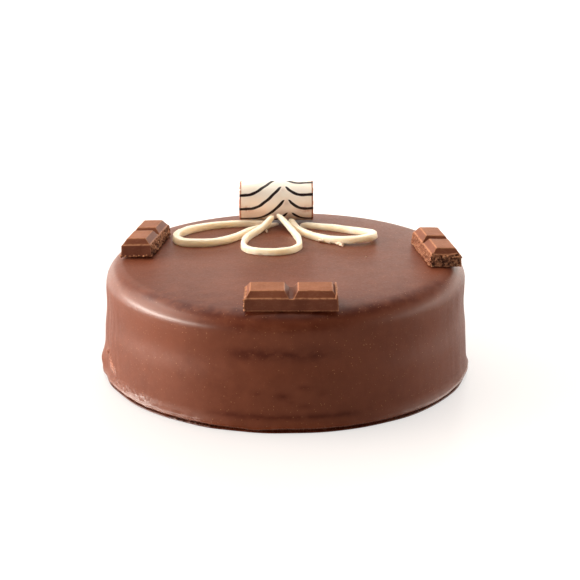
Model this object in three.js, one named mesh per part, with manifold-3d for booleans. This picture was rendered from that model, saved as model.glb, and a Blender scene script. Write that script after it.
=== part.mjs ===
// A round chocolate cake under a poured glaze, with two-segment chocolate pieces, piped white
// chocolate loops and a marbled white chocolate roll on its top.
// Millimetres, +Z up. The origin is the centre of the flat base, and the front is -Y.

import * as THREE from 'three';
import { mergeVertices } from 'three/addons/utils/BufferGeometryUtils.js';
import Module from 'manifold-3d';

// Cake body: a ring-baked round, glazed over its top and side
const CAKE_RADIUS = 100;
const CAKE_HEIGHT = 64;
const SHOULDER_RADIUS = 10.5;
const TOP_CROWN = 1.5;
const CROWN_POWER = 6;
const TOP_RINGS = [0.86, 0.72, 0.5, 0.25];
const TOP_SLANT_X = 0.009;
const TOP_SLANT_Y = 0.004;
const BASE_SPREAD = 2.6;
const WAIST_DEPTH = 0.7;
const WAIST_LOW = 25;
const SIDE_TOP = CAKE_HEIGHT - TOP_CROWN - SHOULDER_RADIUS;
const SIDE_ROWS = 6;
const SHOULDER_STEPS = 6;
const SIDE_WOBBLE = 0.25;
const SIDE_WAVE = { first: 2, last: 6, seed: 3 };
const AROUND_STEPS = 108;

// Foot of the glaze: a lip that stands over a groove, and the thin pool it set in
const POOL_RADIUS = 102.6;
const POOL_THICKNESS = 0.9;
const GROOVE_RADIUS = 100.8;
const GROOVE_FLOOR = 1.17;
const LIP_UNDERSIDE = 2.5;
const LIP_THICKNESS = 1.3;
const LIP_RADIUS = 103.6;
const LIP_TUCK = 0.43;
const LIP_WAVE_TOP = 4.45;
const TOE_START = LIP_UNDERSIDE + LIP_THICKNESS;
const TOE_HEIGHT = 10;
const TOE_ROWS = 3;
const TOE_SHARE = 0.85;
const LIP_WAVE = 0.3;
const LIP_OUT_WAVE = { first: 4, last: 14, seed: 9 };
const LIP_UP_WAVE = { first: 5, last: 16, seed: 14 };
const LIP_DROOP = 0.9;
const LIP_DROOP_ANGLE = -8;
const LIP_DROOP_WIDTH = 4;

// Fold in the glaze at the lower left: angles in degrees from the front, positive to the right
const FOLD_DENSITY = 0.35;
const FOLD_DENSITY_ANGLE = -52;
const BLOB_ANGLE = -80;
const BLOB_WIDTH = 3.6;
const BLOB_HEIGHT = 9.5;
const BLOB_TALL = 5.5;
const BLOB_BULGE = 2.4;
const RIDGE_TOP_ANGLE = -73;
const RIDGE_TOP_HEIGHT = 18;
const RIDGE_FOOT_ANGLE = -64.5;
const RIDGE_FOOT_HEIGHT = 7.5;
const RIDGE_WIDTH = 1.6;
const RIDGE_BULGE = 1.7;
const RIDGE_FADE = 0.2;

// Two-segment chocolate pieces
const PIECE_LENGTH = 47.2;
const PIECE_WIDTH = 17.5;
const PIECE_BASE_HEIGHT = 6.2;
const PIECE_HEIGHT = 9.9;
const PIECE_DRAFT = 0.5;
const SEGMENT_LEDGE = 0.7;
const SEGMENT_END_SLOPE = 2.4;
const SEGMENT_SIDE_SLOPE = 2.8;
const CHANNEL_FLOOR = 2.2;
const SEGMENT_ROUNDING = 0.35;
const BREAK_DEPTH = 0.7;
const BREAK_STEP = 1.5;
const BREAK_TOP_SHARE = 0.3;
const BREAK_ROW_STRIDE = 17;
const SLAB_LEVELS = [0, 0.3, 0.65, 1];
const SMOOTH_STEP = 6;
const FRONT_PIECE = {
  broken: ['left'],
  seed: 5,
  x: 2.8,
  y: -85.6,
  turn: 0.1,
  sideTilt: 5.4,
  endTilt: 0,
};
const LEFT_PIECE = {
  broken: ['front'],
  seed: 8,
  x: -79.5,
  y: 18.6,
  turn: 81.8,
  sideTilt: -3.6,
  endTilt: 1,
};
const RIGHT_PIECE = {
  broken: ['left', 'back'],
  seed: 12,
  x: 83.7,
  y: -1.6,
  turn: 97.6,
  sideTilt: 3,
  endTilt: -0.3,
};

// Piped loops: a strand with a flat top, laid on the glaze
const STRAND_HEIGHT = 3.3;
const STRAND_STEPS = 54;
const STRAND_ROUNDING = 0.9;
const STRAND_END = 0.03;
const STRAND_END_SIZE = 0.55;
const STRAND_BEND_SHARE = 0.2;
const STRAND_THIN_SHARE = 0.2;
const STRAND_WAVE = 0.06;
const STRAND_WAVES = 7.5;
const LEFT_STRAND = { width: 3.8, bendGrowth: 0.18, endThinning: 0.34 };
const MIDDLE_STRAND = { width: 3.2, bendGrowth: 0, endThinning: 0.12 };
const RIGHT_STRAND = { width: 3.6, bendGrowth: 0.16, endThinning: 0.14 };

// Marbled roll: a thin sheet of white chocolate rolled up once and a little more
const ROLL_LENGTH = 44.3;
const ROLL_RADIUS = 13;
const SHEET_THICKNESS = 1.4;
const SHEET_GAP = 0.35;
const ROLL_TURNS = 1.14;
const ROLL_SEGMENTS = 44;
const ROLL_STEPS = 6;
const ROLL_EDGE_ANGLE = 105;
const ROLL_END_WAVE = 0.25;
const ROLL_END_START = 0.25;
const ROLL_RIGHT_WAVE = { first: 2, last: 7, seed: 21 };
const ROLL_LEFT_WAVE = { first: 2, last: 7, seed: 27 };
const ROLL_X = -5.5;
const ROLL_Y = 69.6;

// Gap left between pieces that touch
const TOUCH_GAP = 0.3;
const MERGE_DISTANCE = 1e-3;
const DEGREE = Math.PI / 180;

// Numbers that scatter the repeatable noise
const NOISE_STEP = 127.1;
const NOISE_SEED_STEP = 311.7;
const NOISE_SPREAD = 43758.5453;

// Colours and roughness of the glaze and the chocolates
const GLAZE_COLOUR = 0x6b3f30;
const GLAZE_ROUGHNESS = 0.3;
const MILK_CHOCOLATE_COLOUR = 0x7d4a34;
const MILK_CHOCOLATE_ROUGHNESS = 0.45;
const WHITE_CHOCOLATE_COLOUR = 0xf3e2c4;
const WHITE_CHOCOLATE_ROUGHNESS = 0.4;
const MARBLED_CHOCOLATE_COLOUR = 0xe3cfae;
const MARBLED_CHOCOLATE_ROUGHNESS = 0.35;

const wasm = await Module();
wasm.setup();

// Repeatable noise between -1 and 1 for a whole number
function noise(index, seed) {
  const wave = Math.sin(index * NOISE_STEP + seed * NOISE_SEED_STEP) * NOISE_SPREAD;
  return 2 * (wave - Math.floor(wave)) - 1;
}

// A smooth closed wave round an axis, of a few seeded harmonics
function roundWave(angle, { first, last, seed }) {
  let sum = 0;
  for (let harmonic = first; harmonic <= last; harmonic += 1) {
    sum += noise(harmonic, seed) * Math.cos(harmonic * angle + Math.PI * noise(harmonic, seed + 1));
  }
  return sum / Math.sqrt(last - first + 1);
}

function bell(distance, width) {
  return Math.exp(-((distance / width) ** 2));
}

// One closed body: shared vertices merged, collapsed triangles dropped, normals worked out
function closedSolid(geometry) {
  geometry.deleteAttribute('normal');
  geometry.deleteAttribute('uv');
  const merged = mergeVertices(geometry, MERGE_DISTANCE);
  const index = merged.getIndex().array;
  const kept = [];
  for (let corner = 0; corner < index.length; corner += 3) {
    const [a, b, c] = index.slice(corner, corner + 3);
    if (a !== b && b !== c && c !== a) {
      kept.push(a, b, c);
    }
  }
  merged.setIndex(kept);
  merged.computeVertexNormals();
  return merged;
}

// Moves every vertex by a rule that takes and returns a Vector3
function reshape(geometry, rule) {
  const position = geometry.getAttribute('position');
  const vertex = new THREE.Vector3();
  for (let i = 0; i < position.count; i += 1) {
    vertex.fromBufferAttribute(position, i);
    const moved = rule(vertex);
    position.setXYZ(i, moved.x, moved.y, moved.z);
  }
  position.needsUpdate = true;
  geometry.computeVertexNormals();
  return geometry;
}

function toManifold(geometry) {
  const solid = closedSolid(geometry);
  return new wasm.Manifold(new wasm.Mesh({
    numProp: 3,
    vertProperties: new Float32Array(solid.getAttribute('position').array),
    triVerts: new Uint32Array(solid.getIndex().array),
  }));
}

function fromManifold(manifold) {
  const mesh = manifold.getMesh();
  const geometry = new THREE.BufferGeometry();
  geometry.setAttribute('position', new THREE.BufferAttribute(mesh.vertProperties, 3));
  geometry.setIndex(Array.from(mesh.triVerts));
  return closedSolid(geometry);
}

// The top isn't quite level: it rises a little to the right and to the back
function topSlant(x, y) {
  return TOP_SLANT_X * x + TOP_SLANT_Y * y;
}

// Height of the turned cake at a radius, over its top and its rounded shoulder
function turnedHeight(radius) {
  const across = Math.max(0, radius - (CAKE_RADIUS - SHOULDER_RADIUS));
  const shoulderFall = SHOULDER_RADIUS - Math.sqrt(SHOULDER_RADIUS ** 2 - across ** 2);
  return CAKE_HEIGHT - TOP_CROWN * (radius / CAKE_RADIUS) ** CROWN_POWER - shoulderFall;
}

// Height of the cake's surface at a place on its top
function surfaceHeight(x, y) {
  return turnedHeight(Math.min(Math.hypot(x, y), CAKE_RADIUS)) + topSlant(x, y);
}

// Radius of the cake's side at a height: it spreads to its base, with a slight waist and a toe
function sideRadius(height) {
  const spread = BASE_SPREAD * (1 - height / SIDE_TOP);
  const waistPlace = THREE.MathUtils.clamp((height - WAIST_LOW) / (SIDE_TOP - WAIST_LOW), 0, 1);
  const waist = WAIST_DEPTH * Math.sin(Math.PI * waistPlace) ** 2;
  const toeShare = Math.max(0, (TOE_HEIGHT - height) / (TOE_HEIGHT - TOE_START)) ** 2;
  const toe = TOE_SHARE * (LIP_RADIUS - CAKE_RADIUS - BASE_SPREAD) * toeShare;
  return CAKE_RADIUS + spread - waist + toe;
}

// Outline of the cake from the middle of its base, up the side, to the middle of its top
function cakeProfile() {
  const points = [
    new THREE.Vector2(0, 0),
    new THREE.Vector2(POOL_RADIUS - POOL_THICKNESS / 2, 0),
    new THREE.Vector2(POOL_RADIUS, POOL_THICKNESS / 2),
    new THREE.Vector2(POOL_RADIUS - POOL_THICKNESS, POOL_THICKNESS),
    new THREE.Vector2(GROOVE_RADIUS, GROOVE_FLOOR),
    new THREE.Vector2(GROOVE_RADIUS, LIP_UNDERSIDE - TOUCH_GAP),
    new THREE.Vector2(LIP_RADIUS - LIP_TUCK, LIP_UNDERSIDE),
    new THREE.Vector2(LIP_RADIUS, LIP_UNDERSIDE + LIP_THICKNESS / 2),
  ];
  for (let row = 0; row < TOE_ROWS; row += 1) {
    const height = THREE.MathUtils.lerp(TOE_START, TOE_HEIGHT, row / TOE_ROWS);
    points.push(new THREE.Vector2(sideRadius(height), height));
  }
  for (let row = 0; row < SIDE_ROWS; row += 1) {
    const height = THREE.MathUtils.lerp(TOE_HEIGHT, SIDE_TOP, row / SIDE_ROWS);
    points.push(new THREE.Vector2(sideRadius(height), height));
  }
  for (let step = 0; step <= SHOULDER_STEPS; step += 1) {
    const turn = (Math.PI / 2) * (step / SHOULDER_STEPS);
    const radius = CAKE_RADIUS - SHOULDER_RADIUS * (1 - Math.cos(turn));
    points.push(new THREE.Vector2(radius, turnedHeight(radius)));
  }
  for (const share of TOP_RINGS) {
    const radius = (CAKE_RADIUS - SHOULDER_RADIUS) * share;
    points.push(new THREE.Vector2(radius, turnedHeight(radius)));
  }
  points.push(new THREE.Vector2(0, CAKE_HEIGHT));
  return points;
}

// Bulge of the folded glaze at the lower left: a blob and a ridge that runs down to the right
function foldBulge(degrees, height) {
  const blobShare = bell(degrees - BLOB_ANGLE, BLOB_WIDTH) * bell(height - BLOB_HEIGHT, BLOB_TALL);
  const along = (RIDGE_TOP_HEIGHT - height) / (RIDGE_TOP_HEIGHT - RIDGE_FOOT_HEIGHT);
  const crest = THREE.MathUtils.lerp(RIDGE_TOP_ANGLE, RIDGE_FOOT_ANGLE, along);
  const shown = THREE.MathUtils.clamp(RIDGE_FADE + (1 - RIDGE_FADE) * along, 0, 1);
  const ridgeShare = bell(degrees - crest, RIDGE_WIDTH) * Math.sin(Math.PI * shown);
  return BLOB_BULGE * blobShare + RIDGE_BULGE * ridgeShare;
}

// Unevenness of the side, the wavy lip and the fold, as [outward, upward] at a turned point
function unevenness(angle, radius, height) {
  const degrees = Math.atan2(Math.sin(angle), Math.cos(angle)) / DEGREE;
  let outward = SIDE_WOBBLE * roundWave(angle, SIDE_WAVE);
  let upward = 0;
  if (height > LIP_UNDERSIDE - TOUCH_GAP && height < SIDE_TOP) {
    outward += foldBulge(degrees, height);
  }
  if (radius > GROOVE_RADIUS && height >= LIP_UNDERSIDE && height < LIP_WAVE_TOP) {
    outward += LIP_WAVE * roundWave(angle, LIP_OUT_WAVE);
    upward = LIP_WAVE * roundWave(angle, LIP_UP_WAVE);
    upward -= LIP_DROOP * bell(degrees - LIP_DROOP_ANGLE, LIP_DROOP_WIDTH);
  }
  return [outward, upward];
}

// Moves a vertex of the turned cake to its uneven place, with more of them near the fold
function unevenCake(vertex) {
  const radius = Math.hypot(vertex.x, vertex.y);
  const turnedAngle = Math.atan2(vertex.x, -vertex.y);
  const angle = turnedAngle - FOLD_DENSITY * Math.sin(turnedAngle - FOLD_DENSITY_ANGLE * DEGREE);
  const rimShare = THREE.MathUtils.smoothstep(radius, CAKE_RADIUS - SHOULDER_RADIUS, CAKE_RADIUS);
  const [outward, upward] = unevenness(angle, radius, vertex.z);
  const moved = radius + outward * rimShare;
  const x = moved * Math.sin(angle);
  const y = -moved * Math.cos(angle);
  const slantShare = THREE.MathUtils.smoothstep(vertex.z, WAIST_LOW, SIDE_TOP);
  return new THREE.Vector3(x, y, vertex.z + upward * rimShare + topSlant(x, y) * slantShare);
}

function cakeGeometry() {
  const geometry = new THREE.LatheGeometry(cakeProfile(), AROUND_STEPS);
  geometry.rotateX(Math.PI / 2);
  return reshape(closedSolid(geometry), unevenCake);
}

// Outline points round a rectangle, closer together along its broken sides
function rectangleOutline(length, width, brokenSides) {
  const half = { x: length / 2, y: width / 2 };
  const corners = [[-half.x, -half.y], [half.x, -half.y], [half.x, half.y], [-half.x, half.y]];
  const sides = ['front', 'right', 'back', 'left'];
  const points = [];
  sides.forEach((side, i) => {
    const [startX, startY] = corners[i];
    const [endX, endY] = corners[(i + 1) % corners.length];
    const span = Math.hypot(endX - startX, endY - startY);
    const steps = Math.ceil(span / (brokenSides.includes(side) ? BREAK_STEP : SMOOTH_STEP));
    for (let step = 0; step < steps; step += 1) {
      const share = step / steps;
      points.push({
        x: THREE.MathUtils.lerp(startX, endX, share),
        y: THREE.MathUtils.lerp(startY, endY, share),
        side,
      });
    }
  });
  return points;
}

// A closed body through level rings of points, capped flat below and above
function ringStack(rings) {
  const count = rings[0].length;
  const position = [];
  const index = [];
  rings.forEach((ring) => ring.forEach((point) => position.push(point.x, point.y, point.z)));
  for (let level = 0; level + 1 < rings.length; level += 1) {
    for (let i = 0; i < count; i += 1) {
      const low = level * count + i;
      const lowNext = level * count + ((i + 1) % count);
      index.push(low, lowNext, lowNext + count);
      index.push(low, lowNext + count, low + count);
    }
  }
  const top = rings.length - 1;
  const caps = [
    { ring: rings[0], first: 0, turn: -1 },
    { ring: rings[top], first: top * count, turn: 1 },
  ];
  for (const { ring, first, turn } of caps) {
    const outline = ring.map((point) => new THREE.Vector2(point.x, point.y));
    for (const [a, b, c] of THREE.ShapeUtils.triangulateShape(outline, [])) {
      const face = turn > 0 ? [a, b, c] : [a, c, b];
      index.push(...face.map((corner) => first + corner));
    }
  }
  const geometry = new THREE.BufferGeometry();
  geometry.setAttribute('position', new THREE.Float32BufferAttribute(position, 3));
  geometry.setIndex(index);
  return geometry;
}

// Base slab of a piece, drafted to its top, with crags on the sides where it was broken off
function pieceSlab(brokenSides, seed) {
  const outline = rectangleOutline(PIECE_LENGTH, PIECE_WIDTH, brokenSides);
  const rings = SLAB_LEVELS.map((level, row) => outline.map((point, i) => {
    const broken = brokenSides.includes(point.side);
    const crag = broken ? BREAK_DEPTH * Math.abs(noise(i + BREAK_ROW_STRIDE * row, seed)) : 0;
    const inward = level < 1 ? crag : BREAK_TOP_SHARE * crag;
    const across = point.side === 'front' || point.side === 'back';
    const draft = PIECE_DRAFT * level;
    return {
      x: point.x * (1 - (2 * (draft + (across ? 0 : inward))) / PIECE_LENGTH),
      y: point.y * (1 - (2 * (draft + (across ? inward : 0))) / PIECE_WIDTH),
      z: PIECE_BASE_HEIGHT * level,
    };
  }));
  return ringStack(rings);
}

// One raised segment of a piece: a block with sloping sides and a softened top edge
function pieceSegment(centreX) {
  const length = (PIECE_LENGTH - CHANNEL_FLOOR) / 2 - SEGMENT_LEDGE;
  const width = PIECE_WIDTH - 2 * SEGMENT_LEDGE;
  const rise = PIECE_HEIGHT - PIECE_BASE_HEIGHT;
  const softTop = 1 - SEGMENT_ROUNDING / rise;
  const outline = rectangleOutline(length, width, []);
  const shape = [
    { inset: 0, level: -TOUCH_GAP / rise },
    { inset: 0, level: 0 },
    { inset: softTop, level: softTop },
    { inset: 1 + SEGMENT_ROUNDING / SEGMENT_SIDE_SLOPE, level: 1 },
  ];
  const rings = shape.map(({ inset, level }) => outline.map(({ x, y }) => ({
    x: centreX + x * (1 - (2 * SEGMENT_END_SLOPE * inset) / length),
    y: y * (1 - (2 * SEGMENT_SIDE_SLOPE * inset) / width),
    z: PIECE_BASE_HEIGHT + rise * level,
  })));
  return ringStack(rings);
}

// A whole piece: its slab and the two segments on it
function pieceGeometry({ broken, seed }) {
  const segmentLength = (PIECE_LENGTH - CHANNEL_FLOOR) / 2 - SEGMENT_LEDGE;
  const centreX = (CHANNEL_FLOOR + segmentLength) / 2;
  const slab = toManifold(pieceSlab(broken, seed));
  const left = toManifold(pieceSegment(-centreX));
  const right = toManifold(pieceSegment(centreX));
  return fromManifold(slab.add(left).add(right));
}

// Lays a piece on the cake: turned, tilted outwards, and lowered until it just clears the glaze
function layOnCake(mesh, { x, y, turn, sideTilt, endTilt }) {
  mesh.rotation.set(sideTilt * DEGREE, endTilt * DEGREE, turn * DEGREE, 'ZYX');
  mesh.position.set(x, y, 0);
  mesh.updateMatrixWorld(true);
  const position = mesh.geometry.getAttribute('position');
  const vertex = new THREE.Vector3();
  let lift = -Infinity;
  for (let i = 0; i < position.count; i += 1) {
    vertex.fromBufferAttribute(position, i).applyMatrix4(mesh.matrixWorld);
    lift = Math.max(lift, surfaceHeight(vertex.x, vertex.y) - vertex.z);
  }
  mesh.position.z = lift + TOUCH_GAP;
  return mesh;
}

// Section of a piped strand: flat below, nearly flat on top, round at the corners
function strandSection() {
  const half = 0.5;
  const rounding = STRAND_ROUNDING / STRAND_HEIGHT;
  const shape = new THREE.Shape();
  shape.moveTo(-half + rounding, 0);
  shape.lineTo(half - rounding, 0);
  shape.quadraticCurveTo(half, 0, half, rounding);
  shape.lineTo(half, 1 - rounding);
  shape.quadraticCurveTo(half, 1, half - rounding, 1);
  shape.lineTo(-half + rounding, 1);
  shape.quadraticCurveTo(-half, 1, -half, 1 - rounding);
  shape.lineTo(-half, rounding);
  shape.quadraticCurveTo(-half, 0, -half + rounding, 0);
  return shape;
}

// A strand laid along a route of [x, y, lift off the glaze], thickest round its bend
function strandGeometry(route, { width, bendGrowth, endThinning }) {
  const points = route.map(([x, y, lift]) => (
    new THREE.Vector3(x, y, surfaceHeight(x, y) + TOUCH_GAP + lift)
  ));
  const centreLine = new THREE.CatmullRomCurve3(points, false, 'centripetal');
  const straight = new THREE.ExtrudeGeometry(strandSection(), {
    depth: 1,
    steps: STRAND_STEPS,
    bevelEnabled: false,
    curveSegments: 1,
  });
  return reshape(closedSolid(straight), (vertex) => {
    const share = THREE.MathUtils.clamp(vertex.z, 0, 1);
    const place = centreLine.getPointAt(share);
    const ahead = centreLine.getTangentAt(share);
    const level = Math.hypot(ahead.x, ahead.y);
    const bend = 1 + bendGrowth * bell(share - 0.5, STRAND_BEND_SHARE);
    const thinning = 1 - endThinning * THREE.MathUtils.smoothstep(share, 1 - STRAND_THIN_SHARE, 1);
    const fromEnd = Math.min(1, Math.min(share, 1 - share) / STRAND_END);
    const endTaper = THREE.MathUtils.lerp(STRAND_END_SIZE, 1, fromEnd);
    const wave = 1 + STRAND_WAVE * Math.sin(STRAND_WAVES * 2 * Math.PI * share + route.length);
    const across = vertex.x * width * bend * thinning * wave * endTaper;
    const up = vertex.y * STRAND_HEIGHT * bend * thinning * endTaper;
    return new THREE.Vector3(
      place.x - (ahead.y / level) * across,
      place.y + (ahead.x / level) * across,
      place.z + up,
    );
  });
}

// Left loop: from behind the middle, out to the left, round and back to end under the middle loop
function leftLoop() {
  const route = [
    [-9.5, 58.2, 0],
    [-23.7, 58.4, 0],
    [-34, 57.4, 0],
    [-42, 55.2, 0],
    [-50, 51, 0],
    [-58, 44, 0],
    [-62.5, 36, 0],
    [-63.2, 29, 0],
    [-61.5, 22.8, 0],
    [-57, 18.6, 0],
    [-50, 17.2, 0],
    [-44, 17.8, 0],
    [-37, 20.8, 0],
    [-30.5, 27.2, 0],
    [-25.6, 34.5, 0],
    [-21.4, 42, 0],
    [-16.8, 48.2, 0],
    [-11.5, 53, 0.2],
    [-4.5, 57, 0.8],
  ];
  return strandGeometry(route, LEFT_STRAND);
}

// Middle loop: its left arm rises over the left loop's end, and its right arm's tip leans high
function middleLoop() {
  const route = [
    [-7.4, 54.8, 5.1],
    [-9.4, 51.6, 3.9],
    [-11.8, 48.2, 2],
    [-14.6, 44.2, 0.5],
    [-18.6, 37.2, 0],
    [-22, 29, 0],
    [-23.8, 20, 0],
    [-23.8, 11, 0],
    [-21.5, 4.6, 0],
    [-17, 0.9, 0],
    [-10, -0.9, 0],
    [-4, -0.8, 0],
    [1.5, 1.2, 0],
    [5.6, 5.2, 0],
    [7.7, 11, 0],
    [8, 19, 0],
    [7.3, 27, 0],
    [5.2, 35.5, 0.1],
    [2.6, 43, 1.4],
    [-0.4, 49, 3.4],
    [-4.8, 56, 6.1],
  ];
  return strandGeometry(route, MIDDLE_STRAND);
}

// Right loop: its front arm starts high by the roll, and its far end stands clear of the glaze
function rightLoop() {
  const route = [
    [2.6, 57.4, 2.4],
    [4.4, 52.6, 1.2],
    [6.8, 45.6, 0.2],
    [10.6, 38, 0],
    [15.5, 31, 0],
    [22, 24.6, 0],
    [29, 20, 0.3],
    [36, 18, 0.6],
    [43, 18.4, 1],
    [48.8, 21.4, 1.3],
    [50.8, 26, 1.2],
    [49.6, 31.5, 0.8],
    [45, 37, 0.3],
    [38, 42, 0],
    [30, 46.4, 0],
    [22, 50, 0],
    [15, 53.2, 0],
    [9, 55.8, 0],
  ];
  return strandGeometry(route, RIGHT_STRAND);
}

// Rolled sheet: a spiral outline drawn out along X, with slightly uneven cut ends
function rollGeometry() {
  const pitch = SHEET_THICKNESS + SHEET_GAP;
  const outer = [];
  const inner = [];
  for (let i = 0; i <= ROLL_SEGMENTS; i += 1) {
    const turns = ROLL_TURNS * (i / ROLL_SEGMENTS);
    const angle = ROLL_EDGE_ANGLE * DEGREE + turns * 2 * Math.PI;
    const radius = ROLL_RADIUS - pitch * turns;
    const ray = new THREE.Vector2(Math.cos(angle), Math.sin(angle));
    outer.push(ray.clone().multiplyScalar(radius));
    inner.unshift(ray.clone().multiplyScalar(radius - SHEET_THICKNESS));
  }
  const sheet = new THREE.ExtrudeGeometry(new THREE.Shape([...outer, ...inner]), {
    depth: ROLL_LENGTH,
    steps: ROLL_STEPS,
    bevelEnabled: false,
  });
  return reshape(closedSolid(sheet), (vertex) => {
    const along = vertex.z / ROLL_LENGTH - 0.5;
    const angle = Math.atan2(vertex.y, vertex.x);
    const endShare = Math.max(0, Math.abs(along) / ROLL_END_START - 1);
    const wave = roundWave(angle, along > 0 ? ROLL_RIGHT_WAVE : ROLL_LEFT_WAVE);
    const ragged = ROLL_END_WAVE * endShare * wave;
    return new THREE.Vector3(along * ROLL_LENGTH - Math.sign(along) * Math.abs(ragged), vertex.x, vertex.y);
  });
}

function food(color, roughness) {
  return new THREE.MeshStandardMaterial({ color, roughness, metalness: 0 });
}

function glaze() {
  return food(GLAZE_COLOUR, GLAZE_ROUGHNESS);
}

function milkChocolate() {
  return food(MILK_CHOCOLATE_COLOUR, MILK_CHOCOLATE_ROUGHNESS);
}

function whiteChocolate() {
  return food(WHITE_CHOCOLATE_COLOUR, WHITE_CHOCOLATE_ROUGHNESS);
}

function marbledChocolate() {
  return food(MARBLED_CHOCOLATE_COLOUR, MARBLED_CHOCOLATE_ROUGHNESS);
}

function namedMesh(name, geometry, material) {
  const mesh = new THREE.Mesh(geometry, material);
  mesh.name = name;
  return mesh;
}

function marbledRoll() {
  const mesh = namedMesh('marbled_roll', rollGeometry(), marbledChocolate());
  mesh.position.set(ROLL_X, ROLL_Y, surfaceHeight(ROLL_X, ROLL_Y) + TOUCH_GAP + ROLL_RADIUS);
  return mesh;
}

function chocolatePiece(name, kind) {
  return layOnCake(namedMesh(name, pieceGeometry(kind), milkChocolate()), kind);
}

function chocolatePieces() {
  const group = new THREE.Group();
  group.add(chocolatePiece('piece_front', FRONT_PIECE));
  group.add(chocolatePiece('piece_left', LEFT_PIECE));
  group.add(chocolatePiece('piece_right', RIGHT_PIECE));
  return group;
}

function pipedLoops() {
  const group = new THREE.Group();
  group.add(namedMesh('loop_left', leftLoop(), whiteChocolate()));
  group.add(namedMesh('loop_middle', middleLoop(), whiteChocolate()));
  group.add(namedMesh('loop_right', rightLoop(), whiteChocolate()));
  return group;
}

const cake = new THREE.Group();
cake.add(namedMesh('cake', cakeGeometry(), glaze()));
cake.add(chocolatePieces());
cake.add(pipedLoops());
cake.add(marbledRoll());

export default cake;
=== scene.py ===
import math
import bmesh
import bpy
import numpy as np
from mathutils import Matrix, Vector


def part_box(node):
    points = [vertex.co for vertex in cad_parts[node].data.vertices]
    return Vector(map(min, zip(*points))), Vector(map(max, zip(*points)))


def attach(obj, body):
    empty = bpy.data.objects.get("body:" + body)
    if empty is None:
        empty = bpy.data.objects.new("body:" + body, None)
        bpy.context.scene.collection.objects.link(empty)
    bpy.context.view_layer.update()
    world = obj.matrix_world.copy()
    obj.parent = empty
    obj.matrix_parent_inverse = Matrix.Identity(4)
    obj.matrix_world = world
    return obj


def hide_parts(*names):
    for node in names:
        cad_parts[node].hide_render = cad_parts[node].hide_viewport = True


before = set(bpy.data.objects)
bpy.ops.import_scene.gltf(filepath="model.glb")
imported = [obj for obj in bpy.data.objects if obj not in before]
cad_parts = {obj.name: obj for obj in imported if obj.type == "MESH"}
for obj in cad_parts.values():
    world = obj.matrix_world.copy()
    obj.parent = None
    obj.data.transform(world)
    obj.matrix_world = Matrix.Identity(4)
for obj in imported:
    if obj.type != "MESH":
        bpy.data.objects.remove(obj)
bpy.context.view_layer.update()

# The forms are worked out in millimetres, as in the part, and MM turns them into metres.
# Angles round the cake are degrees from its front (-Y), positive to its right (+X).
# A RISE or a FALL is the pair of values between which something fades in or fades out.
# WAVES are a first and a last harmonic and a seed, and LAYERS of noise are a depth, a size and a seed each.
MM = 0.001
DEGREE = math.pi / 180
TOUCH_GAP = 0.3
TOLERANCE = 1e-6

# Camera, fitted to the photograph: where the lens is, how it looks down, and its picture in pixels
CAMERA_PLACE = (0.0, -0.75745, 0.29054)
CAMERA_ELEVATION = 18.775
FOCAL_LENGTH_PIXELS = 1413.14
LENS_AXIS_X = 285.57
LENS_AXIS_Y = 306.63
IMAGE_SIDE = 580
SENSOR_WIDTH = 36.0

# Cake body
CAKE_RADIUS = 100
CAKE_HEIGHT = 64
SHOULDER_RADIUS = 10.5
TOP_CROWN = 1.5
CROWN_POWER = 6
TOP_SLANT_X = 0.009
TOP_SLANT_Y = 0.004
BASE_SPREAD = 2.6
WAIST_DEPTH = 0.7
WAIST_LOW = 25
SIDE_TOP = CAKE_HEIGHT - TOP_CROWN - SHOULDER_RADIUS
SIDE_BLEND = 4
SIDE_WOBBLE = 0.25
SIDE_WAVES = (2, 6, 3)
TOE_HEIGHT = 10
TOE_SHARE = 0.85

# Rows and columns of the cake's mesh, closer together near its foot and on its shoulder
AROUND_STEPS = 900
BASE_ROWS = [(50, 0), (95, 0)]
TOE_ROW_STEP = 0.32
TOE_ROWS_END = 12
SIDE_ROW_STEP = 1.25
SHOULDER_ROWS = 18
TOP_ROWS_START = 86
TOP_ROWS_END = 2
TOP_ROW_STEP = 4

# Foot of the glaze: a lip that stands over a groove, and the thin pool it set in
POOL_RADIUS = 102.6
POOL_THICKNESS = 0.9
POOL_ROWS = 9
POOL_WAVE = 0.35
POOL_WAVES = (5, 26, 31)
POOL_WAVE_RISE = (101, 102)
POOL_WAVE_TOP = 1.3
LEDGE_ROWS = [(POOL_RADIUS - POOL_THICKNESS, 0.95), (101.2, 1.05), (100.9, 1.2)]
GROOVE_RADIUS = 100.8
GROOVE_LOW = 1.4
GROOVE_HIGH = 2.1
GROOVE_ROWS = 4
LIP_UNDERSIDE = 2.5
LIP_UNDERSIDE_ROWS = [(101.1, 2.3), (101.9, 2.42), (102.5, 2.48)]
LIP_THICKNESS = 1.3
LIP_TOP = LIP_UNDERSIDE + LIP_THICKNESS
LIP_RADIUS = 103.6
LIP_ROWS = 8
LIP_END_ANGLE = math.pi / 6
LIP_BLEND = 0.3
LIP_FALL = (LIP_TOP, 6.5)
LIP_WAVE = 0.3
LIP_WAVES_OUT = (4, 14, 9)
LIP_WAVES_UP = (5, 16, 14)
LIP_RIPPLE = 0.1
LIP_RIPPLES_OUT = (30, 80, 5)
LIP_RIPPLES_UP = (30, 70, 6)
LIP_DROOP = 0.9
LIP_DROOP_ANGLE = -8
LIP_DROOP_WIDTH = 4

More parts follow.
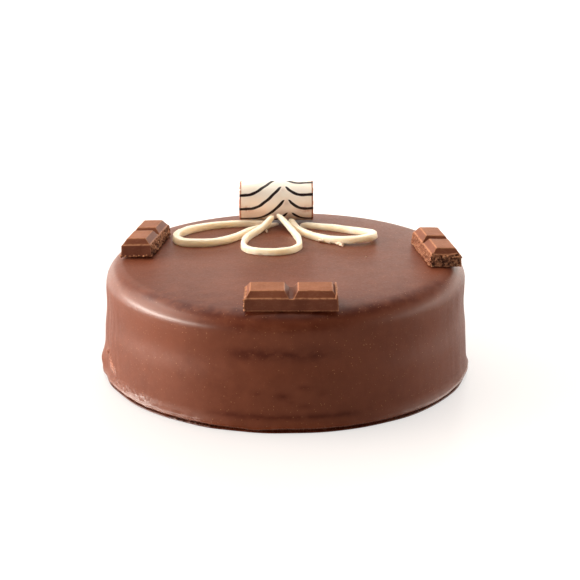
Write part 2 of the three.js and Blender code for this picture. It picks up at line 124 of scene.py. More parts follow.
# Fold in the glaze at the lower left: a blob, a ridge, and a teardrop hollow with a thin rim
FOLD_DENSITY = 0.35
FOLD_DENSITY_ANGLE = -52
BLOB_ANGLE = -80
BLOB_WIDTH = 3.6
BLOB_HEIGHT = 9.5
BLOB_TALL = 5.5
BLOB_BULGE = 2.4
RIDGE_TOP_ANGLE = -73
RIDGE_TOP_HEIGHT = 18
RIDGE_FOOT_ANGLE = -64.5
RIDGE_FOOT_HEIGHT = 7.5
RIDGE_WIDTH = 1.6
RIDGE_BULGE = 1.7
RIDGE_HEAD = 0.2
TEAR_WIDTH = 5
TEAR_TAPER = 0.7
TEAR_EDGE_RISE = (-0.1, 0.7)
TEAR_DEPTH = 1.3
TEAR_SHADE_FALL = (0.15, 0.38)
TEAR_RIM = 0.75
TEAR_RIM_OUT = 0.35
TEAR_RIM_WIDTH = 0.4
TEAR_RIM_RISE = (-0.1, 0.02)

# Small lumps along the foot beside the fold, and shallow streaks down the side
BUBBLE_HEIGHT = 6.2
BUBBLE_TALL = 1.7
BUBBLE_RISE = (-69, -62)
BUBBLE_FALL = (-46, -36)
BUBBLE_LAYERS = [(0.26, 1.9, 3), (0.06, 0.9, 4)]
STREAK_SHARE = 0.25
STREAK_RISE = (50, 75)
STREAK_FALL = (120, 160)
STREAK_LEAN = 0.05
STREAK_STRETCH = 9
STREAK_LAYERS = [(0.22, 4.5, 8), (0.09, 1.9, 9)]

# Painted shade in bands, standing for dark reflections: a height, a half height, a strength, a rise and a
# fall in degrees; and
# spots of darker, redder glaze: an angle, a height, a width in degrees, a half height and a strength
SHADE_BANDS = [
    (41.5, 3.8, 0.8, (-21, -11), (6, 19)),
    (56, 3.2, 0.6, (-60, -6), (14, 24)),
    (8.7, 1.7, 0.7, (-28, -14), (20, 23)),
]
DARK_SPOTS = [
    (5.9, 24.4, 2.2, 1.3, 0.8), (-0.9, 19.4, 2.2, 2.2, 0.75), (5.6, 14.6, 2.4, 1.3, 0.6),
    (10.6, 21.0, 1.4, 1.2, 0.55), (-8.0, 21.2, 1.0, 0.9, 0.55), (1.7, 16.5, 1.4, 0.9, 0.5),
    (-7.9, 7.3, 0.28, 0.3, 1.2),
]
# Painted shade in the groove under the lip
GROOVE_SHADE = 0.7
GROOVE_SHADE_RADIUS = 95
# Painted shade in rings inside the top's edge, strongest at the front
RING_SHADE = 0.35
RING_RADIUS = 94.5
RING_WIDTH = 3.2
RING_FALL = (60, 120)
RING_HEIGHT_RISE = (57.5, 60.5)
FRONT_RING_SHADE = 0.5
FRONT_RING_RISE = (60, 88)
FRONT_RING_FALL = (35, 75)

# Wet and glossy glaze
BUBBLE_WET = 0.25
BUBBLE_WET_TALL = 1.9
LIP_WET = 0.8
LIP_WET_HEIGHT = 3.2
LIP_WET_TALL = 0.9
SHOULDER_GLOSS = 0.3
SHOULDER_GLOSS_RISE = (52.5, 54.5)
SHOULDER_GLOSS_FALL = (60, 62)
SHOULDER_GLOSS_SIDE_FALL = (-30, -6)
WET_GLOSS = 0.4
WET_GLOSS_TOP = 8
RIM_GLOSS = 0.6
# Painted highlight on the fold's thin rim
RIM_HIGHLIGHT = 0.8

# Two-segment chocolate pieces: a slab with two bevelled segments on it
PIECE_LENGTH = 47.2
PIECE_WIDTH = 17.5
PIECE_BASE_HEIGHT = 6.2
PIECE_HEIGHT = 9.9
PIECE_DRAFT = 0.5
ROUND_OVER = 0.4
HALF_X = PIECE_LENGTH / 2 - PIECE_DRAFT - ROUND_OVER
HALF_Y = PIECE_WIDTH / 2 - PIECE_DRAFT - ROUND_OVER
STEPS_X = 190
STEPS_Y = 72
TOP_LAYERS = [(0.06, 5, 0), (0.03, 1.4, 1)]
SEGMENT_LEDGE = 0.7
SEGMENT_END_SLOPE = 2.4
SEGMENT_SIDE_SLOPE = 2.8
SEGMENT_BLEND = 0.1
SEGMENT_TOP_BLEND = 0.16
CHANNEL_FLOOR = 2.2

# Walls of the pieces, by levels from 0 at the top to 1 at the foot, and their broken faces
WALL_LEVELS = np.concatenate([np.linspace(0, 0.5, 8) ** 1.5, np.linspace(0.42, 1, 18)])
WALL_LAYERS = [(0.08, 4, 9)]
WALL_SIDES = ("front", "right", "back", "left")
CRAG_DEPTH = 1.47
CRAG_SIZE = 3.2
CRAG_SEED = 5
CRAG_FINENESS = 4
CRAG_OUT = 0.5
CRAG_RISE = (0, 0.12)
CRUMBLE_LAYERS = [(0.6, 1.1, 6)]
FOOT_FLARE = 0.35
BROKEN_FOOT_FLARE = 0.5
FOOT_FLARE_SIZE = 1.6
FOOT_FLARE_SEED = 13
FOOT_FLARE_RISE = (0.86, 1)
FIN_SIZE = 4
FIN_SEED = 21
FIN_DIP = 0.3
FIN_FACE = 0.6

# Pale edges and tops of the pieces, partly wear and partly painted highlight and top light: widths in
# millimetres, or as shares of a slope or a wall
SLAB_EDGE_WIDTH = 0.22
CORNER_EDGE_WIDTH = 0.3
SEGMENT_EDGE_WIDTH = 0.09
SEGMENT_CORNER_WIDTH = 0.1
SEGMENT_CORNER_END = 1.05
WALL_TOP_EDGE_WIDTH = 0.05
WALL_FOOT_EDGE_WIDTH = 0.04
SLOPE_WEAR_AND_LIGHT = 0.15
SLOPE_WEAR_AND_LIGHT_START = 0.03
TOP_WEAR_AND_LIGHT = 0.85
TOP_WEAR_AND_LIGHT_RISE = (0.9, 0.99)
WORN_BREAK = 0.5
BROKEN_RISE = (0.02, 0.12)
CRUMB_MARKS = {"edge": 1.0, "broken": 0.0, "worn": 0.6}
CRUMB_SHAPE = (0.7, 1.0, 0.8)

# How each piece lies and where it broke. A broken side has a crumbliness from 0 to 1. A fin is a thin burr
# at the right (1) or left (-1) end: its height, how ragged it is and its thickness. A crumb is
# [x, y, z, size] in the piece's own frame.
PIECES = {
    "piece_front": {
        "x": 2.8, "y": -85.6, "turn": 0.1, "side_tilt": 5.4, "end_tilt": 0, "seed": 5,
        "broken_sides": {"left": 1},
        "fins": [(1, 8.9, 0.5, 0.9), (-1, 7.6, 2.2, 1.5)],
        "crumbs": [
            (-23.2, -8.6, 0.5, 0.8), (-23.5, -8.2, 2.4, 0.6), (-23.6, -7.6, 5.6, 0.8),
            (-23.3, -8.3, 4.0, 0.5), (3.5, -9.0, 0.25, 0.4), (5.2, -9.0, 0.3, 0.3), (-9.0, -9.0, 0.25, 0.35),
        ],
    },
    "piece_left": {
        "x": -79.5, "y": 18.6, "turn": 81.8, "side_tilt": -3.6, "end_tilt": 1, "seed": 8,
        "broken_sides": {"front": 1},
        "fins": [(1, 7.2, 1.4, 0.9)],
        "crumbs": [
            (-23.6, 8.8, 0.4, 0.9), (-23.8, 6.0, 0.4, 0.6), (-23.9, 1.0, 0.6, 0.7), (-23.9, -0.4, 0.35, 0.5),
            (-23.8, -1.8, 0.5, 0.6), (-23.9, -4.6, 0.5, 0.8), (-23.9, -6.2, 0.7, 0.7),
            (-23.7, 3.4, 0.3, 0.5),
        ],
    },
    "piece_right": {
        "x": 83.7, "y": -1.6, "turn": 97.6, "side_tilt": 3, "end_tilt": -0.3, "seed": 12,
        "broken_sides": {"left": 1, "back": 0.35},
        "fins": [(-1, 6.8, 1.6, 1.2)],
        "crumbs": [
            (-23.9, 1.6, 5.7, 0.75), (-23.9, -0.4, 6.0, 0.7), (-24, -3.4, 5.3, 0.5), (-24, -4.6, 5.6, 0.6),
            (-24, -5.8, 5.8, 0.6), (-24, -7.0, 5.9, 0.7), (-23.9, -8.2, 5.4, 0.6), (-24, -8.0, 1.0, 0.5),
        ],
    },
}

# Piped loops
STRAND_HEIGHT = 3.3
STRAND_STEPS = 300
STRAND_SIDES = 48
STRAND_SQUARENESS = 7
STRAND_TOP_NARROWING = 0.22
STRAND_END = 0.03
STRAND_END_SIZE = 0.55
STRAND_TIP_LENGTH = 0.5
STRAND_BEND_SHARE = 0.2
STRAND_THIN_SHARE = 0.2
STRAND_WAVE = 0.06
STRAND_WAVES = 7.5
STRAND_LAYERS = [(0.13, 3.2, 0), (0.06, 1.1, 2)]
# How far up a strand's section its painted shade reaches, from its foot
STRAND_SHADE_TOP = 0.7
SETTLE_DEPTH = 0.45
SETTLE_LIFT = 0.8
CURVE_STEPS = 40

# The loops' routes, as points of [x, y, lift off the glaze]
LOOPS = {
    "loop_left": {
        "width": 3.8, "bend_growth": 0.18, "end_thinning": 0.34, "seed": 41,
        "route": [
            (-9.5, 58.2, 0), (-23.7, 58.4, 0), (-34, 57.4, 0), (-42, 55.2, 0), (-50, 51, 0),
            (-58, 44, 0), (-62.5, 36, 0), (-63.2, 29, 0), (-61.5, 22.8, 0), (-57, 18.6, 0),
            (-50, 17.2, 0), (-44, 17.8, 0), (-37, 20.8, 0), (-30.5, 27.2, 0), (-25.6, 34.5, 0),
            (-21.4, 42, 0), (-16.8, 48.2, 0), (-11.5, 53, 0.2), (-4.5, 57, 0.8),
        ],
    },
    "loop_middle": {
        "width": 3.2, "bend_growth": 0, "end_thinning": 0.12, "seed": 42,
        "route": [
            (-7.4, 54.8, 5.1), (-9.4, 51.6, 3.9), (-11.8, 48.2, 2), (-14.6, 44.2, 0.5), (-18.6, 37.2, 0),
            (-22, 29, 0), (-23.8, 20, 0), (-23.8, 11, 0), (-21.5, 4.6, 0), (-17, 0.9, 0), (-10, -0.9, 0),
            (-4, -0.8, 0), (1.5, 1.2, 0), (5.6, 5.2, 0), (7.7, 11, 0), (8, 19, 0), (7.3, 27, 0),
            (5.2, 35.5, 0.1), (2.6, 43, 1.4), (-0.4, 49, 3.4), (-4.8, 56, 6.1),
        ],
    },
    "loop_right": {
        "width": 3.6, "bend_growth": 0.16, "end_thinning": 0.14, "seed": 43,
        "route": [
            (2.6, 57.4, 2.4), (4.4, 52.6, 1.2), (6.8, 45.6, 0.2), (10.6, 38, 0), (15.5, 31, 0),
            (22, 24.6, 0), (29, 20, 0.3), (36, 18, 0.6), (43, 18.4, 1), (48.8, 21.4, 1.3),
            (50.8, 26, 1.2), (49.6, 31.5, 0.8), (45, 37, 0.3), (38, 42, 0), (30, 46.4, 0),
            (22, 50, 0), (15, 53.2, 0), (9, 55.8, 0),
        ],
    },
}

# Marbled roll
ROLL_LENGTH = 44.3
ROLL_RADIUS = 13
SHEET_THICKNESS = 1.4
SHEET_GAP = 0.35
ROLL_TURNS = 1.14
ROLL_EDGE_ANGLE = 105
ROLL_X = -5.5
ROLL_Y = 69.6
ROLL_ROWS = 120
ROLL_EVENNESS = 0.65
SECTION_STEPS = 260
EDGE_STEPS = 10
FREE_EDGE_SLANT = 18
FREE_EDGE_RISE = (3, 20)
END_ROUNDING = 0.35
END_ROUNDING_LENGTH = 0.5
END_RAGGEDNESS = 0.25
LEFT_END_WAVES = (2, 7, 27)
RIGHT_END_WAVES = (2, 7, 21)
SHEET_LAYERS = [(0.05, 4, 5)]
SHEET_NOISE_STRETCH = 4

# Feathered lines: distances along the roll from a line's peak, and how far it has dropped there in degrees
FEATHER_LEFT = ([0, 2, 4.5, 6, 7.7, 11.2, 14.2, 18, 24.5], [0, 8.5, 21, 27, 36, 48.5, 59, 66, 68])
FEATHER_RIGHT = ([0, 2.5, 4.5, 6.8, 8.5, 11, 16, 22], [0, 10, 18, 24, 27, 28.5, 27, 25])
FEATHER_BLUR = (-1.2, -0.6, 0, 0.6, 1.2)
HALF_MILLIMETRE = 0.5
LINES = range(-4, 12)
LINE_X = 4.1
LINE_STEP_X = -1.9
LINE_ANGLE = 56
LINE_STEP_ANGLE = 37.5
LINE_WIDTH = 0.98
LINE_RISE = (0.3, 2.6)
LINE_WAVE = 0.05
LINE_WAVES = 1.3
LINE_THINNING = 0.12
NO_LINE = -5.0
SMEAR_WIDTH = 1.6
SMEAR_DROP = 2.2
SMEAR_TALL = 1.8
FIRST_LAP = 0.95
STAIN_X = 17.5
STAIN_LENGTH = 3
STAIN_ANGLE = -12
STAIN_WIDTH = 8
RIM_START = 1.5
RIM_END = 0.7
# Where the painted shade on the roll's lower side rises and falls, in degrees down from its front
UNDER_SHADE_RISE = (-5, 30)
UNDER_SHADE_FALL = (100, 130)

# Small loose details: lumps, drops of glaze on the pool, and drips and a ragged edge of white chocolate
LUMP_ROUGHNESS = 0.22
LUMP_LIMIT = 1.5
CRUMB_DETAIL = 2
LUMP_DETAIL = 3
DROP_SEED = 4
DROP_DEGREES = np.concatenate([np.linspace(-36, -31, 6), np.linspace(-28.5, -22, 9)])
DROP_RADII = (101.9, 102.5)
DROP_SIZES = (0.45, 0.85)
DROP_HEIGHTS = (0.7, 1.1)
DROP_SHAPE = (1.3, 1, 0.55)
# The drops sit under the lip: they take half the glaze's painted shade, and are wet and glossy
DROP_MARKS = {"dark": 0.5, "wet": 1.0, "gloss": 1.0}
PLACE_JITTER = 0.3
DRIP_SEED = 11
DRIPS = [
    (-11.4, 45.2, (0.7, 1.0, 0.8)), (-11.1, 43.6, (0.4, 0.6, 0.4)), (31.4, 17, (2.0, 1.5, 1.1)),
    (31.9, 15.2, (1.0, 1.2, 0.7)), (32.3, 13.8, (0.5, 0.7, 0.4)), (44.6, -7.1, (0.3, 0.3, 0.22)),
]
DRIP_SINK = 0.5
# The drips take a little of the strands' painted shade
DRIP_MARKS = {"dark": 0.1}
RAGGED_LUMPS = 16
RAGGED_X = 20
RAGGED_Y = 24.2
RAGGED_RUN_X = 12
RAGGED_RUN_Y = -7
RAGGED_SIZES = (0.7, 1.25)
RAGGED_SHAPE = (1.1, 1, 0.9)
RAGGED_SINK = 0.45

# Colours, as linear red, green and blue
GLAZE_DEEP = (0.119, 0.031, 0.0138)
GLAZE_WARM = (0.151, 0.0425, 0.02)
GLAZE_MOTTLE = (0.183, 0.0505, 0.024)
# Painted shade and dark reflections, and the glaze's darker spots
GLAZE_SHADE_AND_DARK_TONE = (0.06, 0.008, 0.002)
# Painted highlight on the fold's rim and inside
GLAZE_HIGHLIGHT = (0.42, 0.18, 0.12)
GLAZE_SPECK = (0.42, 0.18, 0.08)
# Painted shade of small pinhole pits
GLAZE_PINHOLE_SHADE = (0.05, 0.012, 0.006)
MILK_DARK = (0.108, 0.032, 0.017)
MILK_LIGHT = (0.15, 0.048, 0.026)
# Paler tops and walls: partly wear, partly painted top light
MILK_WEAR_AND_LIGHT_DEEP = (0.22, 0.074, 0.032)
MILK_WEAR_AND_LIGHT_PALE = (0.275, 0.1, 0.045)
MILK_SCUFF = (0.33, 0.16, 0.095)
# Pale edges: partly wear, partly painted highlight
MILK_EDGE_WEAR_AND_HIGHLIGHT = (0.44, 0.2, 0.1)
MILK_CRUMB_DARK = (0.06, 0.022, 0.013)
MILK_CRUMB_LIGHT = (0.36, 0.165, 0.09)
MILK_CRUMB_BRIGHT = (0.62, 0.38, 0.22)
WHITE_DEEP = (0.95, 0.71, 0.52)
WHITE_LIGHT = (0.97, 0.76, 0.58)
# Painted shade low on the strands
WHITE_UNDERSIDE_SHADE = (0.66, 0.44, 0.24)
WHITE_SPECK = (0.5, 0.3, 0.14)
SHEET_DEEP = (0.88, 0.78, 0.68)
SHEET_LIGHT = (0.91, 0.83, 0.74)
SHEET_SMEAR = (0.3, 0.2, 0.17)
# Painted shade on the roll's lower side
SHEET_UNDER_SHADE = (0.42, 0.33, 0.25)
SHEET_STAIN = (0.42, 0.16, 0.05)
SHEET_RIM = (0.3, 0.09, 0.025)
SHEET_LINE = (0.012, 0.004, 0.004)
CREAM_LIGHT_DEPTH = (1.0, 0.95, 0.9)
FLOOR_DEEP = (0.3, 0.282, 0.272)
FLOOR_LIGHT = (0.31, 0.292, 0.282)
FLOOR_GLOW = (1.0, 0.985, 0.975, 1.0)
LAMP_TINT = (1.0, 0.925, 0.845)
WHITE = (1, 1, 1)

# Roughness of the glaze where it is wet, and of the milk chocolate
WET_SMOOTHING = 0.2
MILK_ROUGHNESS = 0.5
BROKEN_ROUGHENING = 0.3

# Studio: each soft patch has its middle's azimuth right of the front, a half width, a lowest and a highest
# elevation in degrees, and a strength
FLOOR_HALF = 4.0
PATCH_BLUR = 4
SOFT_PATCHES = [
    (-84, 47, 0, 10, 38),
    (-97, 50, 12, 42, 6.2),
    (-158, 105, 32, 78, 3.9),
    (-175, 100, 14, 32, 0.3),
    (-150, 90, 0, 14, 2.6),
    (150, 40, 0, 15, 4.5),
    (97, 48, 0, 15, 8.8),
    (90, 50, 15, 40, 1.2),
    (48, 40, 0, 15, 0.5),
    (0, 720, 72, 100, 3.1),
]

# Constants of the repeatable noise
HASH_SCALE = 43758.5453
HASH_STEPS = (127.1, 311.7, 74.7)
HASH_SEED = 53.3
LAYER_SEED_STEP = 7


# Noise and easing, all on arrays

def hashed(value):
    """A repeatable number from 0 to 1 for each value."""
    wave = np.sin(value) * HASH_SCALE
    return wave - np.floor(wave)


def noise(index, seed):
    return 2 * hashed(index * HASH_STEPS[0] + seed * HASH_STEPS[1]) - 1


def round_wave(angle, first, last, seed):
    """A smooth closed wave round the cake, of a few seeded harmonics."""
    total = 0
    for harmonic in range(first, last + 1):
        phase = math.pi * noise(harmonic, seed + 1)
        total = total + noise(harmonic, seed) * np.cos(harmonic * angle + phase)
    return total / math.sqrt(last - first + 1)


def bell(distance, width):
    return np.exp(-((distance / width) ** 2))


def smoothstep(value, low, high):
    share = np.clip((value - low) / (high - low), 0, 1)
    return share * share * (3 - 2 * share)


def window(value, rise, fall):
    """1 between a rise and a fall, and 0 outside them."""
    return smoothstep(value, *rise) * (1 - smoothstep(value, *fall))


def soft_minimum(a, b, blend):
    overlap = np.maximum(blend - np.abs(a - b), 0) / blend
    return np.minimum(a, b) - overlap * overlap * blend / 4


def smooth_noise(points, size, seed):
    """Noise between -1 and 1 that changes over a size in millimetres."""
    place = np.asarray(points, float) / size
    cell = np.floor(place)
    share = smoothstep(place - cell, 0, 1)
    total = 0
    for corner in range(8):
        step = np.array([corner & 1, corner >> 1 & 1, corner >> 2 & 1])
        weight = np.prod(np.where(step == 1, share, 1 - share), axis=-1)
        total = total + weight * hashed((cell + step) @ np.array(HASH_STEPS) + seed * HASH_SEED)
    return 2 * total - 1


def layered_noise(points, size, seed, layers=3):
    """Noise with finer and finer detail, still about -1 to 1."""
    total = 0
    for layer in range(layers):
        total = total + smooth_noise(points, size / 2**layer, seed + LAYER_SEED_STEP * layer) / 2**layer
    return total / (2 - 2.0 ** (1 - layers))


def noise_depth(points, layers, first_seed=0):
    """The sum of layers of noise, each a depth, a size and a seed."""
    return sum(depth * smooth_noise(points, size, first_seed + seed) for depth, size, seed in layers)


# Mesh making

def grid_faces(rows, columns, closed):
    """Quads between neighbouring rows of points, facing out when rows go up and columns anticlockwise."""
    row = np.arange(rows - 1)[:, None] * columns
    column = np.arange(columns if closed else columns - 1)[None, :]
    ahead = (column + 1) % columns
    corners = [row + column, row + ahead, row + columns + ahead, row + columns + column]
    return np.stack(corners, axis=-1).reshape(-1, 4).tolist()


def fan_faces(ring, centre, upward):
    """Triangles between a closed ring of points and one middle point."""
    pairs = zip(ring.tolist(), np.roll(ring, -1).tolist())
    if upward:
        return [(a, b, centre) for a, b in pairs]
    return [(b, a, centre) for a, b in pairs]


def make_piece(name, points, faces, material, nodes, marks):
    """A smooth mesh piece from points in millimetres, riding on the cake, with named marks per point."""
    mesh = bpy.data.meshes.new(name)
    mesh.from_pydata((np.asarray(points) * MM).tolist(), [], faces)
    mesh.update()
    mesh.shade_smooth()
    for mark_name, values in marks.items():
        attribute = mesh.attributes.new(mark_name, "FLOAT", "POINT")
        attribute.data.foreach_set("value", np.asarray(values, np.float32))
    mesh.materials.append(material)
    piece = bpy.data.objects.new(name, mesh)
    bpy.context.scene.collection.objects.link(piece)
    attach(piece, "root")
    if nodes:
        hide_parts(*nodes)
    return piece


# Material making

def add_node(tree, kind, inputs=None, **settings):
    """Adds a node with its settings, and links each named input to a socket or gives it a value."""
    node = tree.nodes.new(kind)
    for setting, value in settings.items():
        setattr(node, setting, value)
    for name, value in (inputs or {}).items():
        if isinstance(value, bpy.types.NodeSocket):
            tree.links.new(value, node.inputs[name])
        else:
            node.inputs[name].default_value = value
    return node


def part_place(tree):
    return add_node(tree, "ShaderNodeTexCoord").outputs["Object"]


def stretched(tree, vector, scale):
    return add_node(tree, "ShaderNodeMapping", {"Vector": vector, "Scale": scale}).outputs["Vector"]


def noise_texture(tree, vector, size, detail=3.0, roughness=0.5):
    """Noise from 0 to 1 that changes over a size in metres."""
    inputs = {"Vector": vector, "Scale": 1 / size, "Detail": detail, "Roughness": roughness}
    return add_node(tree, "ShaderNodeTexNoise", inputs).outputs[0]


def between(tree, value, low=0.3, high=0.7, bottom=0.0, top=1.0):
    """Maps low to high onto bottom to top, smoothly and no further."""
    inputs = {"Value": value, "From Min": low, "From Max": high, "To Min": bottom, "To Max": top}
    return add_node(tree, "ShaderNodeMapRange", inputs, interpolation_type="SMOOTHSTEP").outputs[0]


def calculate(tree, operation, a, b=0.0):
    return add_node(tree, "ShaderNodeMath", {0: a, 1: b}, operation=operation).outputs[0]


def mark(tree, name):
    return add_node(tree, "ShaderNodeAttribute", attribute_name=name).outputs["Fac"]


def blend_colour(tree, factor, a, b):
    node = add_node(tree, "ShaderNodeMix", data_type="RGBA")
    for place, value in {0: factor, 6: a, 7: b}.items():
        if isinstance(value, bpy.types.NodeSocket):
            tree.links.new(value, node.inputs[place])
        else:
            node.inputs[place].default_value = (*value, 1.0)
    return node.outputs[2]


def tinted(tree, colour, tint, where, strength):
    """Mixes a tint in where a mark or a texture is, as strongly as a number or another texture says."""
    return blend_colour(tree, calculate(tree, "MULTIPLY", where, strength), colour, tint)


def specks(tree, vector, cell, radius):
    """1 in small round specks, of which a flat cut through the cells meets about one in four."""
    inputs = {"Vector": vector, "Scale": 1 / cell}
    distance = add_node(tree, "ShaderNodeTexVoronoi", inputs).outputs["Distance"]
    return between(tree, distance, low=radius / cell, high=0.5 * radius / cell)


def bump(tree, height, strength, distance, normal=None):
    inputs = {"Height": height, "Strength": strength, "Distance": distance}
    if normal is not None:
        inputs["Normal"] = normal
    return add_node(tree, "ShaderNodeBump", inputs).outputs["Normal"]


def new_material(name):
    material = bpy.data.materials.new(name)
    material.use_nodes = True
    return material, material.node_tree, material.node_tree.nodes["Principled BSDF"]


def feed(tree, shader, **inputs):
    """Links or sets inputs of the shader; an underscore in a name stands for a space."""
    for name, value in inputs.items():
        socket = shader.inputs[name.replace("_", " ")]
        if isinstance(value, bpy.types.NodeSocket):
            tree.links.new(value, socket)
        else:
            socket.default_value = value


def glaze_material():
    """Poured chocolate glaze: mottled brown with fine orange specks, satin, glossier where it is wet."""
    material, tree, shader = new_material("glaze")
    place = part_place(tree)
    broad = noise_texture(tree, place, size=0.045)
    mottled = noise_texture(tree, place, size=0.006, detail=4.0, roughness=0.6)
    colour = blend_colour(tree, between(tree, broad), GLAZE_DEEP, GLAZE_WARM)
    colour = blend_colour(tree, between(tree, mottled, low=0.35, top=0.35), colour, GLAZE_MOTTLE)
    cloudy_place = stretched(tree, place, scale=(1.0, 1.0, 1.6))
    cloudy = noise_texture(tree, cloudy_place, size=0.009, roughness=0.6)
    uneven = between(tree, cloudy, high=0.66, bottom=0.3, top=1.1)
    # Painted shade and dark reflections from the dark mark, with the glaze's darker spots
    colour = tinted(tree, colour, GLAZE_SHADE_AND_DARK_TONE, mark(tree, "dark"), uneven)
    # Painted highlight on the fold, from the pale mark
    colour = tinted(tree, colour, GLAZE_HIGHLIGHT, mark(tree, "pale"), strength=0.7)
    speck = specks(tree, place, cell=0.0017, radius=0.00026)
    patchy = noise_texture(tree, place, size=0.0045, detail=1.0)
    shown = between(tree, patchy, low=0.42, high=0.66, bottom=0.12, top=0.9)
    colour = tinted(tree, colour, GLAZE_SPECK, speck, shown)
    # Dark pinholes: painted shade of small pits, which have no relief
    pinhole_place = stretched(tree, place, scale=(1.3, 1.1, 1.2))
    pinholes = specks(tree, pinhole_place, cell=0.0055, radius=0.0003)
    colour = tinted(tree, colour, GLAZE_PINHOLE_SHADE, pinholes, strength=0.6)
    fine = noise_texture(tree, place, size=0.0012, detail=2.0)
    dry = between(tree, fine, bottom=0.37, top=0.45)
    smoothing = calculate(tree, "MULTIPLY", mark(tree, "wet"), WET_SMOOTHING)
    roughness = calculate(tree, "SUBTRACT", dry, smoothing)
    relief = noise_texture(tree, place, size=0.009)
    normal = bump(tree, relief, strength=0.25, distance=0.0006)
    normal = bump(tree, fine, strength=0.12, distance=0.0002, normal=normal)
    normal = bump(tree, speck, strength=0.35, distance=0.0002, normal=normal)
    feed(tree, shader, Base_Color=colour, Roughness=roughness, Normal=normal)
    feed(tree, shader, IOR=1.27, Coat_Weight=mark(tree, "gloss"), Coat_Roughness=0.15, Coat_IOR=1.5)
    return material


def milk_chocolate_material():
    """Moulded milk chocolate: tops and edges paler, partly from wear and partly as painted top light and
    painted edge highlight; faint scuffs; broken faces with bright crumbs.
    """
    material, tree, shader = new_material("milk_chocolate")
    place = part_place(tree)
    broad = noise_texture(tree, place, size=0.012)
    # Paler tops: partly wear, partly painted top light
    worn = mark(tree, "worn")
    colour = blend_colour(tree, between(tree, broad), MILK_DARK, MILK_LIGHT)
    wear_and_light_colour = blend_colour(tree, between(tree, broad), MILK_WEAR_AND_LIGHT_DEEP, MILK_WEAR_AND_LIGHT_PALE)
    colour = blend_colour(tree, worn, colour, wear_and_light_colour)
    scuff_place = stretched(tree, place, scale=(1.0, 2.4, 1.6))
    scuff_noise = noise_texture(tree, scuff_place, size=0.0016, detail=4.0, roughness=0.7)
    scuffs = between(tree, scuff_noise, low=0.5, high=0.66, top=0.45)
    colour = tinted(tree, colour, MILK_SCUFF, scuffs, between(tree, worn, low=0.0, high=1.0, bottom=0.25))
    # Pale edges: partly wear, partly painted highlight
    edge_noise = between(tree, noise_texture(tree, place, size=0.0018), high=0.6, bottom=0.35)
    edge = calculate(tree, "MULTIPLY", mark(tree, "edge"), edge_noise)
    colour = tinted(tree, colour, MILK_EDGE_WEAR_AND_HIGHLIGHT, edge, strength=0.75)
    crumb = noise_texture(tree, place, size=0.0022, detail=5.0, roughness=0.72)
    bright = between(tree, noise_texture(tree, place, size=0.0013), low=0.6, high=0.68)
    crumb_share = between(tree, crumb, low=0.4, high=0.6)
    crumb_colour = blend_colour(tree, crumb_share, MILK_CRUMB_DARK, MILK_CRUMB_LIGHT)
    crumb_colour = blend_colour(tree, bright, crumb_colour, MILK_CRUMB_BRIGHT)
    broken = mark(tree, "broken")
    colour = blend_colour(tree, broken, colour, crumb_colour)
    roughness = calculate(tree, "MULTIPLY", broken, BROKEN_ROUGHENING)
    roughness = calculate(tree, "ADD", roughness, MILK_ROUGHNESS)
    scratches = noise_texture(tree, scuff_place, size=0.0012, detail=4.0, roughness=0.65)
    normal = bump(tree, broad, strength=0.2, distance=0.0004)
    normal = bump(tree, scratches, strength=0.25, distance=0.00018, normal=normal)
    feed(tree, shader, Base_Color=colour, Roughness=roughness, Normal=normal, IOR=1.2)
    return material


def white_chocolate_material(name, translucency):
    """Piped white chocolate: cream with painted tan shade low on the strands, and specks, a little lumpy."""
    material, tree, shader = new_material(name)
    place = part_place(tree)
    broad = noise_texture(tree, place, size=0.006)
    colour = blend_colour(tree, between(tree, broad), WHITE_DEEP, WHITE_LIGHT)
    # Painted tan shade low on the strands, from the dark mark
    colour = tinted(tree, colour, WHITE_UNDERSIDE_SHADE, mark(tree, "dark"), strength=0.15)
    speck = specks(tree, place, cell=0.0028, radius=0.00022)
    colour = tinted(tree, colour, WHITE_SPECK, speck, strength=0.4)
    relief = noise_texture(tree, place, size=0.0016)
    normal = bump(tree, relief, strength=0.25, distance=0.0002)
    feed(tree, shader, Base_Color=colour, Roughness=0.42, Normal=normal, IOR=1.42)
    feed(tree, shader, Subsurface_Weight=translucency, Subsurface_Scale=0.006)
    feed(tree, shader, Subsurface_Radius=CREAM_LIGHT_DEPTH)
    return material


